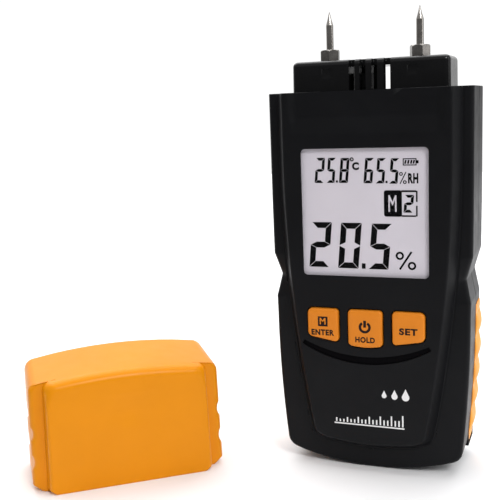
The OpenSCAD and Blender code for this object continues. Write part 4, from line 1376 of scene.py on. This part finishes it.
def inner_parts():
    """Nodes that keep their CAD shape and get softened edges and a material."""
    for slot, material, *nodes in (
        ("white_plastic", FRAME_WHITE, "lcd_frame"), ("silicone", SILICONE, "zebra_strip"),
        ("board_green", BOARD_GREEN, "circuit_board"), ("board_green", BOARD_DARK, "sensor_board"),
        ("screw_steel", SCREW_STEEL, "board_screws", "case_screws"),
        ("chip_black", CHIP_BLACK, "main_chip", "buzzer", "key_switches", "humidity_sensor", "sensor_header"),
        ("bright_metal", SPRING_STEEL, "crystal", "battery_contacts"),
        ("capacitor_sleeve", SLEEVE_BLUE, "capacitors"), ("seal_rubber", SEAL_RUBBER, "head_seal"),
        ("brass", BRASS, "electrode_sockets"), ("cell_wrap", CELL_WRAP, "battery_cells"),
        ("wire_red", WIRE_RED, "electrode_wires", "battery_leads"),
    ):
        for node in nodes:
            paint(soften_cad(node), material)


# --- Camera, floor and light ---

# The camera was fitted to the photo: metres, degrees (turn, tilt, roll) and millimetres of lens
CAMERA_PLACE = (0.05935, -0.2622, 0.11469)
CAMERA_ANGLES = (21.361, -9.574, -2.224)
CAMERA_LENS = 61.27
FLOOR_X, FLOOR_Y = (-2500, 1200), (-900, 1100)


def camera():
    turn, tilt, roll = np.radians(CAMERA_ANGLES)
    data = bpy.data.cameras.new("camera")
    data.lens, data.sensor_width, data.clip_start = CAMERA_LENS, 36, 0.01
    cam = into_scene("camera", data)
    level = Matrix.Translation(CAMERA_PLACE) @ Matrix.Rotation(turn, 4, "Z")
    tilted = level @ Matrix.Rotation(math.pi / 2 + tilt, 4, "X")
    cam.matrix_world = tilted @ Matrix.Rotation(roll, 4, "Z")
    bpy.context.scene.camera = cam


def area_light(name, place, target, size, power):
    data = bpy.data.lights.new(name, "AREA")
    data.shape = "RECTANGLE"
    data.size, data.size_y = size
    data.energy = power
    lamp = into_scene(name, data)
    lamp.location = place
    lamp.rotation_mode = "QUATERNION"
    lamp.rotation_quaternion = (Vector(target) - Vector(place)).to_track_quat("-Z", "Y")


def sky(tree):
    """Bright behind the object and overhead and dim in front of it, like a studio."""
    where = tree.nodes.new("ShaderNodeTexCoord").outputs["Generated"]
    axes = add_node(tree, "SeparateXYZ", Vector=where)

    def ramp(axis, *ends):
        mapped = map_range(tree, axes.outputs[axis], *ends)
        mapped.interpolation_type = "SMOOTHSTEP"
        return mapped.outputs["Result"]

    def combined(operation, first, second):
        node = tree.nodes.new("ShaderNodeMath")
        node.operation = operation
        tree.links.new(first, node.inputs[0])
        tree.links.new(second, node.inputs[1])
        return node.outputs[0]

    behind = combined("MULTIPLY", ramp("Y", -0.2, 0.6, 0.16, 1.05), ramp("X", -0.06, 0.3, 1.0, 0.4))
    strength = combined("MAXIMUM", behind, ramp("Z", 0.06, 0.5, 0.16, 0.6))
    tree.links.new(strength, tree.nodes["Background"].inputs["Strength"])


def painted_falloff_table():
    """A white table top whose colour falls off to grey in front of the object: painted shade that stands in
    for light falling off away from the object.
    """
    material, tree, shader = new_material("table")
    axes = add_node(tree, "SeparateXYZ", Vector=object_space(tree))
    # Painted shade: the table is coloured grey far in front and white close to the object and behind it.
    painted_light_share = map_range(tree, axes.outputs["Y"], -0.3, -0.058).outputs["Result"]
    white, grey = (0.88, 0.88, 0.89), (0.25, 0.25, 0.255)
    gloss = spread(tree, noise(tree, 0.2, 3.0), 0.7, 0.85)
    fill(
        tree, shader, Base_Color=blend_colours(tree, painted_light_share, grey, white), Roughness=gloss,
        Specular_IOR_Level=0.1,
    )
    return material


def studio():
    (x0, x1), (y0, y1) = FLOOR_X, FLOOR_Y
    floor = new_piece("floor", [(x0, y0, 0), (x1, y0, 0), (x1, y1, 0), (x0, y1, 0)], [(0, 1, 2, 3)])
    paint(floor, painted_falloff_table())
    world = bpy.data.worlds.new("studio")
    world.use_nodes = True
    world.node_tree.nodes["Background"].inputs["Color"].default_value = (1, 1, 1, 1)
    sky(world.node_tree)
    bpy.context.scene.world = world
    bpy.context.scene.view_settings.view_transform = "Standard"
    area_light("overhead", (-0.5, 0.7, 1.6), (-0.5, 0.6, 0), (2.8, 1.8), 44)
    area_light("key", (0.7, -0.75, 0.9), (0, 0, 0.05), (0.4, 0.4), 8)
    area_light("side", (0.8, 0.05, 0.35), (0, 0, 0.08), (0.25, 0.4), 0.8)


camera()
studio()
front_case()
smile_shade_floor()
rear_case()
keys()
display()
lens()
printed_marks()
grip(1)
grip(-1)
head()
pins()
nuts()
cap()
battery_door()
springs()
inner_parts()
